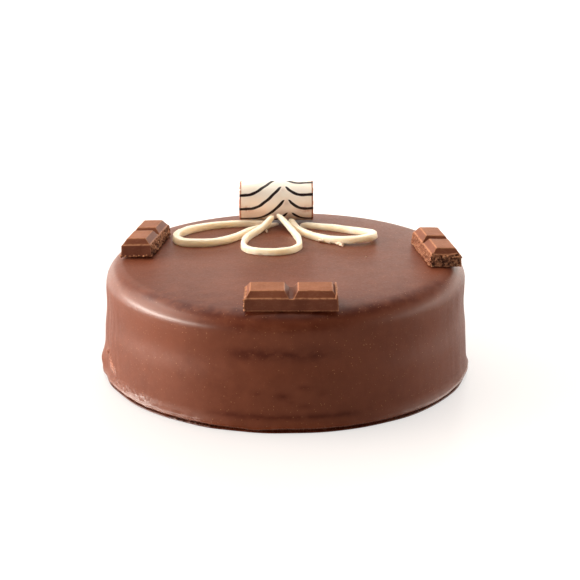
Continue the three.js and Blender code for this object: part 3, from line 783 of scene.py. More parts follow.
def marbled_material():
    """White chocolate sheet with feathered dark lines, brown cut rims, stains and painted tan shade on its
    lower side.
    """
    material, tree, shader = new_material("marbled_chocolate")
    place = part_place(tree)
    broad = noise_texture(tree, place, size=0.008)
    colour = blend_colour(tree, between(tree, broad), SHEET_DEEP, SHEET_LIGHT)
    colour = tinted(tree, colour, SHEET_SMEAR, mark(tree, "smear"), strength=0.3)
    # Painted shade on the roll's lower side
    colour = tinted(tree, colour, SHEET_UNDER_SHADE, mark(tree, "under"), strength=0.42)
    stain_noise = noise_texture(tree, place, size=0.0022, detail=4.0, roughness=0.65)
    stain_share = between(tree, stain_noise, low=0.38, high=0.58)
    stain = calculate(tree, "MULTIPLY", mark(tree, "stain"), stain_share)
    colour = tinted(tree, colour, SHEET_STAIN, stain, strength=0.85)
    rim_share = between(tree, noise_texture(tree, place, size=0.0016), low=0.26, high=0.42)
    rim = calculate(tree, "MULTIPLY", mark(tree, "rim"), rim_share)
    colour = tinted(tree, colour, SHEET_RIM, rim, strength=0.9)
    line = between(tree, mark(tree, "line"), low=-0.14, high=0.14)
    colour = blend_colour(tree, line, colour, SHEET_LINE)
    translucency = calculate(tree, "SUBTRACT", 1.0, line)
    relief = noise_texture(tree, place, size=0.004)
    normal = bump(tree, relief, strength=0.2, distance=0.0003)
    feed(tree, shader, Base_Color=colour, Roughness=0.36, Normal=normal, IOR=1.42)
    feed(tree, shader, Subsurface_Weight=translucency, Subsurface_Scale=0.002)
    feed(tree, shader, Subsurface_Radius=CREAM_LIGHT_DEPTH)
    return material


def floor_material():
    """Plain pale studio floor with a faint sheen, which glows less as light than it looks to the camera, and
    whose glow dims near the cake as a painted shadow.
    """
    material, tree, shader = new_material("floor")
    place = part_place(tree)
    tone = noise_texture(tree, place, size=0.4, detail=2.0)
    colour = blend_colour(tree, between(tree, tone), FLOOR_DEEP, FLOOR_LIGHT)
    distance = add_node(tree, "ShaderNodeVectorMath", {0: place}, operation="LENGTH").outputs["Value"]
    seen = add_node(tree, "ShaderNodeLightPath").outputs["Is Camera Ray"]
    behind = add_node(tree, "ShaderNodeSeparateXYZ", {"Vector": place}).outputs["Y"]
    as_light = between(tree, behind, low=-0.2, high=0.25, bottom=0.22, top=0.62)
    share = calculate(tree, "MAXIMUM", seen, as_light)
    # The glow dims near the cake: a painted shadow round it
    glow_with_painted_shadow = between(tree, distance, low=0.13, high=0.5, bottom=0.64)
    glow = calculate(tree, "MULTIPLY", glow_with_painted_shadow, share)
    feed(tree, shader, Base_Color=colour, Roughness=0.25, IOR=1.35)
    feed(tree, shader, Emission_Strength=glow, Emission_Color=FLOOR_GLOW)
    return material


# Cake body

def turned_height(radius):
    """Height of the turned cake at a radius, over its top and its rounded shoulder."""
    across = np.clip(radius - (CAKE_RADIUS - SHOULDER_RADIUS), 0, SHOULDER_RADIUS)
    shoulder_fall = SHOULDER_RADIUS - np.sqrt(SHOULDER_RADIUS**2 - across**2)
    return CAKE_HEIGHT - TOP_CROWN * (radius / CAKE_RADIUS) ** CROWN_POWER - shoulder_fall


def top_slant(x, y):
    return TOP_SLANT_X * x + TOP_SLANT_Y * y


def surface_height(x, y):
    return turned_height(np.minimum(np.hypot(x, y), CAKE_RADIUS)) + top_slant(x, y)


def side_radius(height):
    """Radius of the cake's side at a height: it spreads to its base, with a slight waist and a toe."""
    spread = BASE_SPREAD * (1 - height / SIDE_TOP)
    waist_place = np.clip((height - WAIST_LOW) / (SIDE_TOP - WAIST_LOW), 0, 1)
    waist = WAIST_DEPTH * np.sin(math.pi * waist_place) ** 2
    toe_share = np.maximum(0, (TOE_HEIGHT - height) / (TOE_HEIGHT - LIP_TOP)) ** 2
    toe = TOE_SHARE * (LIP_RADIUS - CAKE_RADIUS - BASE_SPREAD) * toe_share
    return CAKE_RADIUS + spread - waist + toe


def rounded_edge(radius, underside, thickness, end_angle, count):
    """Rows round a rounded edge, from its underside up to an angle."""
    half = thickness / 2
    return [(radius - half * (1 - math.cos(a)), underside + half * (1 + math.sin(a)))
            for a in np.linspace(-math.pi / 2, end_angle, count)]


def foot_rows():
    """Radius and height from the middle of the base, round the pool and groove, to the lip's rim."""
    pool = rounded_edge(POOL_RADIUS, 0, POOL_THICKNESS, math.pi / 2, POOL_ROWS)
    groove = [(GROOVE_RADIUS, h) for h in np.linspace(GROOVE_LOW, GROOVE_HIGH, GROOVE_ROWS)]
    lip = rounded_edge(LIP_RADIUS, LIP_UNDERSIDE, LIP_THICKNESS, LIP_END_ANGLE, LIP_ROWS)
    return BASE_ROWS + pool + LEDGE_ROWS + groove + LIP_UNDERSIDE_ROWS + lip


def cake_rows():
    """Radius and height of each row of the turned cake, from its base to its top."""
    rows = foot_rows()
    rows += [(side_radius(h), h) for h in np.arange(LIP_TOP, TOE_ROWS_END, TOE_ROW_STEP)]
    rows += [(side_radius(h), h) for h in np.arange(TOE_ROWS_END, SIDE_TOP, SIDE_ROW_STEP)]
    turns = np.linspace(0, math.pi / 2, SHOULDER_ROWS)
    radii = [CAKE_RADIUS - SHOULDER_RADIUS * (1 - math.cos(turn)) for turn in turns]
    radii += list(np.arange(TOP_ROWS_START, TOP_ROWS_END, -TOP_ROW_STEP))
    rows += [(radius, float(turned_height(radius))) for radius in radii]
    return np.array(rows)


def fold_shapes(degrees, height):
    """The folded glaze: how far it bulges, its thin rim, the painted highlight inside it and the painted
    shade at the top of its hollow.
    """
    blob = BLOB_BULGE * bell(degrees - BLOB_ANGLE, BLOB_WIDTH) * bell(height - BLOB_HEIGHT, BLOB_TALL)
    along = (RIDGE_TOP_HEIGHT - height) / (RIDGE_TOP_HEIGHT - RIDGE_FOOT_HEIGHT)
    beside = degrees - (RIDGE_TOP_ANGLE + (RIDGE_FOOT_ANGLE - RIDGE_TOP_ANGLE) * along)
    ridge_share = np.clip(along * (1 - RIDGE_HEAD) + RIDGE_HEAD, 0, 1)
    ridge = RIDGE_BULGE * np.sin(math.pi * ridge_share) * bell(beside, RIDGE_WIDTH)
    share = np.clip(along, 0, 1)
    half_width = TEAR_WIDTH * np.sqrt(share) * (1 - share) ** TEAR_TAPER
    hollow = smoothstep(half_width - np.abs(beside), *TEAR_EDGE_RISE)
    rim = bell(np.abs(beside) - half_width - TEAR_RIM_OUT, TEAR_RIM_WIDTH)
    rim = rim * smoothstep(along, *TEAR_RIM_RISE) * (1 - share)
    shaded = hollow * (1 - smoothstep(along, *TEAR_SHADE_FALL))
    return blob + ridge + TEAR_RIM * rim - TEAR_DEPTH * hollow, rim, hollow - shaded, shaded


def bubble_place(degrees, height, tall):
    """Where the glaze bunched up along the lower left, from 0 to 1."""
    return bell(height - BUBBLE_HEIGHT, tall) * window(degrees, BUBBLE_RISE, BUBBLE_FALL)


def streaks(degrees, height):
    """Long shallow ripples down the side, strongest at the cake's right and left."""
    share = STREAK_SHARE + window(np.abs(degrees), STREAK_RISE, STREAK_FALL)
    drift = np.stack([degrees + STREAK_LEAN * height, height / STREAK_STRETCH, 0 * height], axis=-1)
    return share * noise_depth(drift, STREAK_LAYERS)


def lip_wave(angle, waves, ripples):
    return LIP_WAVE * round_wave(angle, *waves) + LIP_RIPPLE * round_wave(angle, *ripples)


def cake_unevenness(degrees, radius, height, points):
    """Outward and upward moves of each point of the turned cake."""
    angle = degrees * DEGREE
    above = smoothstep(height, LIP_UNDERSIDE - LIP_BLEND, LIP_UNDERSIDE)
    below_top = 1 - smoothstep(height, SIDE_TOP - SIDE_BLEND, SIDE_TOP + SIDE_BLEND)
    lip = above * (1 - smoothstep(height, *LIP_FALL)) * (radius > GROOVE_RADIUS)
    pool = (height < POOL_WAVE_TOP) * smoothstep(radius, *POOL_WAVE_RISE)
    outward = SIDE_WOBBLE * round_wave(angle, *SIDE_WAVES)
    outward = outward + fold_shapes(degrees, height)[0] * above * below_top
    outward = outward + bubble_place(degrees, height, BUBBLE_TALL) * noise_depth(points, BUBBLE_LAYERS)
    outward = outward + streaks(degrees, height) * above * below_top
    outward = outward + lip * lip_wave(angle, LIP_WAVES_OUT, LIP_RIPPLES_OUT)
    outward = outward + pool * POOL_WAVE * round_wave(angle, *POOL_WAVES)
    droop = LIP_DROOP * bell(degrees - LIP_DROOP_ANGLE, LIP_DROOP_WIDTH)
    upward = lip * (lip_wave(angle, LIP_WAVES_UP, LIP_RIPPLES_UP) - droop)
    return outward, upward


def shade_bands_rings_and_spots(degrees, height, radius):
    """Painted shade in bands on the side, standing for dark reflections, spots of darker glaze, and painted
    shade in rings inside the top's edge.
    """
    dark = 0
    for level, tall, strength, rise, fall in SHADE_BANDS:
        dark = dark + strength * bell(height - level, tall) * window(degrees, rise, fall)
    for angle, level, wide, tall, strength in DARK_SPOTS:
        dark = dark + strength * bell(degrees - angle, wide) * bell(height - level, tall)
    front_ring = smoothstep(radius, *FRONT_RING_RISE) * (1 - smoothstep(np.abs(degrees), *FRONT_RING_FALL))
    rings = FRONT_RING_SHADE * front_ring + RING_SHADE * bell(radius - RING_RADIUS, RING_WIDTH)
    rings = rings * (1 - smoothstep(np.abs(degrees), *RING_FALL))
    return dark + rings * smoothstep(height, *RING_HEIGHT_RISE)


def cake_marks(degrees, height, radius):
    """Painted shade and darker, redder spots; where the glaze is wet; how glossy it set; and a painted
    highlight on the fold.
    """
    rim, pale, shaded = fold_shapes(degrees, height)[1:]
    # Painted shade in the groove under the lip, which is also wet
    groove = GROOVE_SHADE * (height < LIP_UNDERSIDE) * (radius > GROOVE_SHADE_RADIUS)
    wet = BUBBLE_WET * bubble_place(degrees, height, BUBBLE_WET_TALL) + groove
    wet = np.clip(wet + LIP_WET * bell(height - LIP_WET_HEIGHT, LIP_WET_TALL), 0, 1)
    shoulder = SHOULDER_GLOSS * window(height, SHOULDER_GLOSS_RISE, SHOULDER_GLOSS_FALL)
    shoulder = shoulder * (1 - smoothstep(degrees, *SHOULDER_GLOSS_SIDE_FALL))
    gloss = shoulder + WET_GLOSS * wet * (height < WET_GLOSS_TOP) + RIM_GLOSS * rim
    # dark: painted shade and dark reflections, and darker spots; pale: the fold's painted highlight
    return {
        "dark": np.clip(shade_bands_rings_and_spots(degrees, height, radius) + groove + shaded, 0, 1),
        "wet": wet,
        "gloss": np.clip(gloss, 0, 1),
        "pale": np.clip(pale + RIM_HIGHLIGHT * rim, 0, 1),
    }


def cake_piece(material):
    """The whole glazed cake, with more of its columns near the fold."""
    rows = cake_rows()
    turned = np.linspace(-math.pi, math.pi, AROUND_STEPS, endpoint=False)
    turned = turned - FOLD_DENSITY * np.sin(turned - FOLD_DENSITY_ANGLE * DEGREE)
    radius = np.repeat(rows[:, 0], AROUND_STEPS)
    height = np.repeat(rows[:, 1], AROUND_STEPS)
    angle = np.tile(turned, len(rows))
    degrees = (angle / DEGREE + 180) % 360 - 180
    turned_points = np.stack([radius * np.sin(angle), -radius * np.cos(angle), height], axis=-1)
    outward, upward = cake_unevenness(degrees, radius, height, turned_points)
    rim_share = smoothstep(radius, CAKE_RADIUS - SHOULDER_RADIUS, CAKE_RADIUS)
    moved = radius + outward * rim_share
    x = moved * np.sin(angle)
    y = -moved * np.cos(angle)
    slant = top_slant(x, y) * smoothstep(height, WAIST_LOW, SIDE_TOP)
    z = np.maximum(height + upward * rim_share + slant, 0)
    count = len(x)
    points = np.vstack([np.stack([x, y, z], axis=-1), [0, 0, 0], [0, 0, CAKE_HEIGHT]])
    faces = grid_faces(len(rows), AROUND_STEPS, True)
    faces += fan_faces(np.arange(AROUND_STEPS), count, False)
    faces += fan_faces(np.arange(count - AROUND_STEPS, count), count + 1, True)
    marks = cake_marks(degrees, height, radius)
    marks = {name: np.append(values, [0, 0]) for name, values in marks.items()}
    return make_piece("cake_glaze", points, faces, material, ["cake"], marks)


# Small rough lumps

def lump_points(rng, size, detail):
    """A small rough lump: a ball with its points moved at random."""
    ball = bmesh.new()
    bmesh.ops.create_icosphere(ball, subdivisions=detail, radius=1.0)
    points = np.array([vertex.co[:] for vertex in ball.verts])
    faces = [[vertex.index for vertex in face.verts] for face in ball.faces]
    ball.free()
    rough = rng.standard_normal((len(points), 1)).clip(-LUMP_LIMIT, LUMP_LIMIT)
    return points * (1 + LUMP_ROUGHNESS * rough) * size, faces


def shifted(faces, count):
    return [[index + count for index in face] for face in faces]


# Chocolate pieces

def segment_top(x, y):
    """Rise of the two segments over the slab from 0 to 1, and how near a point is to one of their edges."""
    segment_length = (PIECE_LENGTH - CHANNEL_FLOOR) / 2 - SEGMENT_LEDGE
    centre = (CHANNEL_FLOOR + segment_length) / 2
    from_end = (segment_length / 2 - np.abs(np.abs(x) - centre)) / SEGMENT_END_SLOPE
    from_side = ((PIECE_WIDTH - 2 * SEGMENT_LEDGE) / 2 - np.abs(y)) / SEGMENT_SIDE_SLOPE
    inset = soft_minimum(from_end, from_side, SEGMENT_BLEND)
    rise = soft_minimum(inset, np.ones_like(inset), SEGMENT_TOP_BLEND)
    rise = -soft_minimum(-rise, np.zeros_like(inset), SEGMENT_BLEND)
    corner = bell(from_end - from_side, SEGMENT_CORNER_WIDTH) * (inset > 0) * (inset < SEGMENT_CORNER_END)
    return rise, np.clip(bell(inset - 1, SEGMENT_EDGE_WIDTH) + corner, 0, 1)


def end_fins(x, y, fins, seed):
    """Height of the thin uneven burrs that stand at a piece's ends, where it broke from the bar."""
    place = np.stack([y, 0 * y, 0 * y], axis=-1)
    height = np.zeros_like(x)
    for end, tall, ragged, thick in fins:
        uneven = ragged * (layered_noise(place, FIN_SIZE, seed + FIN_SEED) - FIN_DIP)
        near = smoothstep(end * x, HALF_X - thick, HALF_X - FIN_FACE * thick)
        height = np.maximum(height, near * (tall + uneven))
    return height


def slab_top(fins, seed):
    """The top of a piece on a grid: x, y, z, the segments' rise, and how near an edge is."""
    x, y = np.meshgrid(np.linspace(-HALF_X, HALF_X, STEPS_X), np.linspace(-HALF_Y, HALF_Y, STEPS_Y))
    x = x.ravel()
    y = y.ravel()
    rise, edge = segment_top(x, y)
    z = PIECE_BASE_HEIGHT + (PIECE_HEIGHT - PIECE_BASE_HEIGHT) * rise
    z = z + noise_depth(np.stack([x, y, 0 * x], axis=-1), TOP_LAYERS, seed)
    fin = end_fins(x, y, fins, seed)
    edge = np.where(fin > z, 1, edge)
    from_slab_edge = np.minimum(HALF_X - np.abs(x), HALF_Y - np.abs(y))
    edge = np.clip(edge + bell(from_slab_edge, SLAB_EDGE_WIDTH), 0, 1)
    return x, y, np.maximum(z, fin), rise, edge


def top_border():
    """Indices of the top grid's border, anticlockwise from its first corner."""
    index = np.arange(STEPS_X * STEPS_Y).reshape(STEPS_Y, STEPS_X)
    return np.concatenate([index[0, :-1], index[:-1, -1], index[-1, :0:-1], index[:0:-1, 0]])


def wall_row(x, y, z, level, broken, seed):
    """One ring of a piece's wall under its border's x, y and z: smooth, or cragged where it broke."""
    above_round = max(ROUND_OVER - PIECE_BASE_HEIGHT * level, 0)
    grow = math.sqrt(ROUND_OVER**2 - above_round**2) + PIECE_DRAFT * level
    height = np.maximum(z - z * level, 0)
    place = np.stack([x, y, height], axis=-1)
    crag = np.abs(layered_noise(place, CRAG_SIZE, seed + CRAG_SEED, CRAG_FINENESS))
    crag = crag + np.abs(noise_depth(place, CRUMBLE_LAYERS, seed))
    crag = broken * (CRAG_DEPTH * np.clip(crag, 0, 1) - CRAG_OUT) * smoothstep(level, *CRAG_RISE)
    flare = (FOOT_FLARE + BROKEN_FOOT_FLARE * broken) * smoothstep(level, *FOOT_FLARE_RISE)
    flare = flare * np.abs(layered_noise(place, FOOT_FLARE_SIZE, seed + FOOT_FLARE_SEED))
    out = grow - crag + noise_depth(place, WALL_LAYERS, seed) + flare
    return np.stack([x * (1 + out / HALF_X), y * (1 + out / HALF_Y), height], axis=-1)


def piece_faces(border):
    """Faces of a piece: its top grid, the strip round it, the walls and the underside."""
    ring = len(border)
    wall_rows = len(WALL_LEVELS) - 1
    top_count = STEPS_X * STEPS_Y
    first = np.arange(ring) + top_count
    last = first + (wall_rows - 1) * ring
    faces = grid_faces(STEPS_Y, STEPS_X, False)
    faces += np.stack([border, first, np.roll(first, -1), np.roll(border, -1)], axis=-1).tolist()
    faces += (np.array(grid_faces(wall_rows, ring, True))[:, ::-1] + top_count).tolist()
    return faces + fan_faces(last, top_count + wall_rows * ring, False)


def piece_marks(rise, edge, from_corner, crumbly):
    """Marks of a piece's top, walls and underside: its pale edges, partly painted highlight; its broken
    faces; and where it is paler from wear and, on its tops, from painted top light.
    """
    wall_rows = len(WALL_LEVELS) - 1
    level = np.repeat(WALL_LEVELS[1:], len(crumbly))
    wall_edge = bell(level, WALL_TOP_EDGE_WIDTH) + bell(level - 1, WALL_FOOT_EDGE_WIDTH)
    wall_edge = wall_edge + np.tile(bell(from_corner, CORNER_EDGE_WIDTH), wall_rows)
    wall_broken = np.tile(crumbly, wall_rows) * smoothstep(level, *BROKEN_RISE)
    wall_worn = WORN_BREAK * np.tile((crumbly > 0) - crumbly, wall_rows)
    # Segment tops and slopes paler: partly wear, partly painted top light
    top_wear_and_light = SLOPE_WEAR_AND_LIGHT * (rise > SLOPE_WEAR_AND_LIGHT_START) + TOP_WEAR_AND_LIGHT * smoothstep(rise, *TOP_WEAR_AND_LIGHT_RISE)
    return {
        "edge": np.concatenate([edge, np.clip(wall_edge, 0, 1), [0]]),
        "broken": np.concatenate([0 * rise, wall_broken, [0]]),
        "worn": np.concatenate([top_wear_and_light, wall_worn, [0]]),
    }


def piece_shape(broken_sides, fins, seed):
    """One piece in its own frame: points, faces and marks."""
    x, y, z, rise, edge = slab_top(fins, seed)
    top = np.stack([x, y, z], axis=-1)
    border = top_border()
    x, y, z = top[border].T
    on_sides = [y <= TOLERANCE - HALF_Y, x >= HALF_X - TOLERANCE, y >= HALF_Y - TOLERANCE]
    side_of = np.select(on_sides, [0, 1, 2], 3)
    crumbly = np.array([broken_sides.get(side, 0.0) for side in WALL_SIDES])[side_of]
    walls = [wall_row(x, y, z, level, crumbly > 0, seed) for level in WALL_LEVELS[1:]]
    points = np.vstack([top, *walls, [0, 0, 0]])
    from_corner = np.where(side_of % 2 == 0, HALF_X - np.abs(x), HALF_Y - np.abs(y))
    return points, piece_faces(border), piece_marks(rise, edge, from_corner, crumbly)


def with_crumbs(points, faces, marks, crumbs, seed):
    """A piece with its loose crumbs added, coloured as its pale edges, which are partly painted highlight.
    """
    rng = np.random.default_rng(seed)
    for *place, size in crumbs:
        lump, lump_faces = lump_points(rng, size * np.array(CRUMB_SHAPE), CRUMB_DETAIL)
        faces = faces + shifted(lump_faces, len(points))
        points = np.vstack([points, lump + np.array(place)])
        for name, value in CRUMB_MARKS.items():
            marks[name] = np.append(marks[name], np.full(len(lump), value))
    return points, faces, marks


def laid_piece(name, material, x, y, turn, side_tilt, end_tilt, seed, broken_sides, fins, crumbs):
    """A piece laid where its solid lies: turned, tilted, and as low as the solid's lowest corner."""
    points, faces, marks = with_crumbs(*piece_shape(broken_sides, fins, seed), crumbs, seed)
    turned = Matrix.Rotation(turn * DEGREE, 3, "Z") @ Matrix.Rotation(end_tilt * DEGREE, 3, "Y")
    turned = turned @ Matrix.Rotation(side_tilt * DEGREE, 3, "X")
    points = points @ np.array(turned).T
    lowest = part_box(name)[0].z / MM
    points = points + np.array([x, y, lowest - points[:, 2].min()])
    return make_piece(name + "_chocolate", points, faces, material, [name], marks)


# Piped loops

def even_curve(route, count):
    """Evenly spaced points along the centripetal Catmull-Rom curve through a route's points."""
    points = np.array(route, float)
    points = np.vstack([2 * points[0] - points[1], points, 2 * points[-1] - points[-2]])
    samples = []
    for k in range(len(points) - 3):
        a, b, c, d = points[k:k + 4]
        knots = np.cumsum([0] + [math.sqrt(np.linalg.norm(q - p)) for p, q in ((a, b), (b, c), (c, d))])
        t0, t1, t2, t3 = knots
        t = np.linspace(t1, t2, CURVE_STEPS, endpoint=False)[:, None]
        first = (t1 - t) / (t1 - t0) * a + (t - t0) / (t1 - t0) * b
        second = (t2 - t) / (t2 - t1) * b + (t - t1) / (t2 - t1) * c
        third = (t3 - t) / (t3 - t2) * c + (t - t2) / (t3 - t2) * d
        near = (t2 - t) / (t2 - t0) * first + (t - t0) / (t2 - t0) * second
        far = (t3 - t) / (t3 - t1) * second + (t - t1) / (t3 - t1) * third
        samples.append((t2 - t) / (t2 - t1) * near + (t - t1) / (t2 - t1) * far)
    curve = np.vstack(samples + [points[-2:-1]])
    length = np.concatenate([[0], np.cumsum(np.linalg.norm(np.diff(curve, axis=0), axis=1))])
    wanted = np.linspace(0, length[-1], count)
    return np.stack([np.interp(wanted, length, curve[:, axis]) for axis in range(3)], axis=-1)


def strand_section():
    """Across and up of each point round a strand's flat-topped section, for a width and height of 1."""
    turn = np.linspace(0, 2 * math.pi, STRAND_SIDES, endpoint=False)
    power = 2 / STRAND_SQUARENESS
    across = 0.5 * np.sign(np.cos(turn)) * np.abs(np.cos(turn)) ** power
    upward = 0.5 + 0.5 * np.sign(np.sin(turn)) * np.abs(np.sin(turn)) ** power
    return across * (1 - STRAND_TOP_NARROWING * upward), upward


def strand_sizes(width, bend_growth, end_thinning, wave_start):
    """Width and height of a strand at each step along it."""
    share = np.linspace(0, 1, STRAND_STEPS)
    bend = 1 + bend_growth * bell(share - 0.5, STRAND_BEND_SHARE)
    thinning = 1 - end_thinning * smoothstep(share, 1 - STRAND_THIN_SHARE, 1)
    from_end = np.clip(np.minimum(share, 1 - share) / STRAND_END, 0, 1)
    taper = np.minimum(1, STRAND_END_SIZE + (1 - STRAND_END_SIZE) * np.sqrt(from_end))
    wave = 1 + STRAND_WAVE * np.sin(STRAND_WAVES * 2 * math.pi * share + wave_start)
    return width * bend * thinning * wave * taper, STRAND_HEIGHT * bend * thinning * taper


def strand_piece(name, material, width, bend_growth, end_thinning, seed, route):
    """A piped strand along its route, which settles into the glaze where it touches it."""
    places = [(x, y, surface_height(x, y) + TOUCH_GAP + lift) for x, y, lift in route]
    line = even_curve(places, STRAND_STEPS)
    ahead = np.gradient(line, axis=0)
    level = np.hypot(ahead[:, 0], ahead[:, 1])
    side = np.stack([-ahead[:, 1] / level, ahead[:, 0] / level, 0 * level], axis=-1)
    wide, tall = strand_sizes(width, bend_growth, end_thinning, len(route))
    across, upward = strand_section()
    points = line[:, None, :] + side[:, None, :] * (across * wide[:, None])[..., None]
    points[..., 2] += upward * tall[:, None]
    lift = line[:, 2] - surface_height(line[:, 0], line[:, 1]) - TOUCH_GAP
    settled = np.clip(1 - lift / SETTLE_LIFT, 0, 1)
    points[..., 2] -= SETTLE_DEPTH * settled[:, None] * (1 - upward)
    points = points.reshape(-1, 3)
    outward = points - np.repeat(line + [0, 0, STRAND_HEIGHT / 2], STRAND_SIDES, axis=0)
    outward /= np.linalg.norm(outward, axis=1)[:, None]
    points = points + outward * noise_depth(points, STRAND_LAYERS, seed)[:, None]
    tips = [line[end] + [0, 0, tall[end] / 2] + way * STRAND_TIP_LENGTH * ahead[end] / level[end]
            for end, way in ((0, -1), (-1, 1))]
    count = len(points)
    faces = np.array(grid_faces(STRAND_STEPS, STRAND_SIDES, True))[:, ::-1].tolist()
    faces += fan_faces(np.arange(STRAND_SIDES), count, True)
    faces += fan_faces(np.arange(count - STRAND_SIDES, count), count + 1, False)
    # Painted shade, darkest at the strand's foot and fading out up its sides
    hollow = np.tile(np.clip(STRAND_SHADE_TOP - upward, 0, 1), STRAND_STEPS)
    marks = {"dark": np.append(hollow, [0, 0])}
    points = np.vstack([points, tips])
    return make_piece(name + "_piped", points, faces, material, [name], marks)


# Marbled roll

def feather_drop(distance):
    """How far a feathered line has dropped, in degrees round the roll, at a distance from its peak."""
    drop = 0
    for shift in FEATHER_BLUR:
        place = distance + shift
        left = np.interp(-place, *FEATHER_LEFT)
        right = np.interp(place, *FEATHER_RIGHT)
        drop = drop + np.where(place < 0, left, right) / len(FEATHER_BLUR)
    return drop


def feather_marks(along, angle):
    """Signed depth inside a feathered line in millimetres, and the grey smear under the peaks."""
    line = np.full_like(along, NO_LINE)
    smear = np.zeros_like(along)
    for k in LINES:
        distance = along - (LINE_X + LINE_STEP_X * k)
        curve = LINE_ANGLE + LINE_STEP_ANGLE * k - feather_drop(distance)
        steepness = feather_drop(distance + HALF_MILLIMETRE) - feather_drop(distance - HALF_MILLIMETRE)
        slope = np.radians(steepness) * ROLL_RADIUS
        across = np.radians(angle - curve) * ROLL_RADIUS
        half_width = LINE_WIDTH * smoothstep(np.abs(distance), *LINE_RISE)
        half_width = half_width + LINE_WAVE * np.sin(along * LINE_WAVES + k) - LINE_THINNING
        line = np.maximum(line, half_width - np.abs(across) / np.sqrt(1 + slope**2))
        smear = np.maximum(smear, bell(distance, SMEAR_WIDTH) * bell(across + SMEAR_DROP, SMEAR_TALL))
    return line, smear


def sheet_section():
    """Turns along the sheet's section, its distance off the middle line, and how far past an end it is."""
    half = SHEET_THICKNESS / 2
    turns = np.linspace(0, ROLL_TURNS, SECTION_STEPS)
    flat = 0 * turns
    edge = np.linspace(math.pi / 2, -math.pi / 2, EDGE_STEPS + 2)[1:-1]
    turn_of = np.concatenate([turns, ROLL_TURNS + 0 * edge, turns[::-1], 0 * edge])
    off_middle = np.concatenate([flat + half, half * np.sin(edge), flat - half, -half * np.sin(edge)])
    beyond = np.concatenate([flat, half * np.cos(edge), flat, -half * np.cos(edge)])
    return turn_of, off_middle, beyond


def roll_faces(columns):
    """Faces of the roll: its skin, and at each end the cut section with its two rounded edges."""
    faces = [face[::-1] for face in grid_faces(ROLL_ROWS, columns, True)]
    inner = 2 * SECTION_STEPS + EDGE_STEPS - 1
    section = [[k, k + 1, inner - k - 1, inner - k] for k in range(SECTION_STEPS - 1)]
    section.append(list(range(SECTION_STEPS - 1, SECTION_STEPS + EDGE_STEPS + 1)))
    section.append(list(range(inner, columns)) + [0])
    faces += section
    faces += [face[::-1] for face in shifted(section, (ROLL_ROWS - 1) * columns)]
    return faces


def roll_marks(along, angle, outer, turn_of):
    """Marks of the roll: lines and smears on its outer face, stains, cut rims and painted shade on its lower
    side.
    """
    front_angle = 180 - angle
    line, smear = feather_marks(along, (front_angle + 180) % 360 - 180)
    from_end = ROLL_LENGTH / 2 - np.abs(along)
    stain = bell(np.abs(along) - STAIN_X, STAIN_LENGTH) * bell(front_angle - STAIN_ANGLE, STAIN_WIDTH)
    return {
        "line": np.where(outer & (turn_of < FIRST_LAP), line, NO_LINE),
        "smear": smear * outer,
        "stain": stain,
        "rim": smoothstep(-from_end, -RIM_START, -RIM_END),
        # Painted shade on the roll's lower side
        "under": window(-front_angle, UNDER_SHADE_RISE, UNDER_SHADE_FALL) * outer,
    }


def roll_piece(material):
    """The rolled sheet: a spiral with rounded cut ends and a free edge that slants at its left end."""
    half_length = ROLL_LENGTH / 2
    bunched = half_length * np.sin(np.linspace(-math.pi / 2, math.pi / 2, ROLL_ROWS))
    even = np.linspace(-half_length, half_length, ROLL_ROWS)
    along = ((1 - ROLL_EVENNESS) * bunched + ROLL_EVENNESS * even)[:, None]
    turn_of, off_middle, beyond = sheet_section()
    slant = FREE_EDGE_SLANT * smoothstep(-along, *FREE_EDGE_RISE)
    angle = ROLL_EDGE_ANGLE + 360 * turn_of + slant * (1 - turn_of / ROLL_TURNS)
    angle = angle + np.degrees(beyond / ROLL_RADIUS)
    along = np.repeat(along, len(turn_of), axis=1)
    pitch = SHEET_THICKNESS + SHEET_GAP
    radius = ROLL_RADIUS - SHEET_THICKNESS / 2 - pitch * (angle - ROLL_EDGE_ANGLE) / 360 + off_middle
    near_end = smoothstep(np.abs(along), half_length - END_ROUNDING_LENGTH, half_length)
    radius = radius - np.sign(off_middle) * END_ROUNDING * near_end
    sheet_place = np.stack([along, angle / SHEET_NOISE_STRETCH, 0 * angle], axis=-1)
    radius = radius + noise_depth(sheet_place, SHEET_LAYERS)
    turned = np.radians(angle)
    ragged = np.where(along > 0, round_wave(turned, *RIGHT_END_WAVES), round_wave(turned, *LEFT_END_WAVES))
    ragged = END_RAGGEDNESS * np.maximum(0, 2 * np.abs(along) / half_length - 1) * ragged
    x = ROLL_X + along - np.sign(along) * np.abs(ragged)
    y = ROLL_Y + radius * np.cos(turned)
    z = surface_height(ROLL_X, ROLL_Y) + TOUCH_GAP + ROLL_RADIUS + radius * np.sin(turned)
    points = np.stack([x, y, z], axis=-1).reshape(-1, 3)
    faces = roll_faces(len(turn_of))
    marks = roll_marks(along, angle, off_middle > 0, turn_of)
    marks = {name: values.ravel() for name, values in marks.items()}
    return make_piece("roll_marbled", points, faces, material, ["marbled_roll"], marks)


# Small loose details

def scattered(name, material, places, rng, marks):
    """One mesh of small lumps, each a centre and a size in millimetres."""
    points = np.empty((0, 3))
    faces = []
    for centre, size in places:
        lump, lump_faces = lump_points(rng, np.asarray(size), LUMP_DETAIL)
        faces += shifted(lump_faces, len(points))
        points = np.vstack([points, lump + np.asarray(centre)])
    marks = {mark_name: np.full(len(points), value) for mark_name, value in marks.items()}
    return make_piece(name, points, faces, material, [], marks)


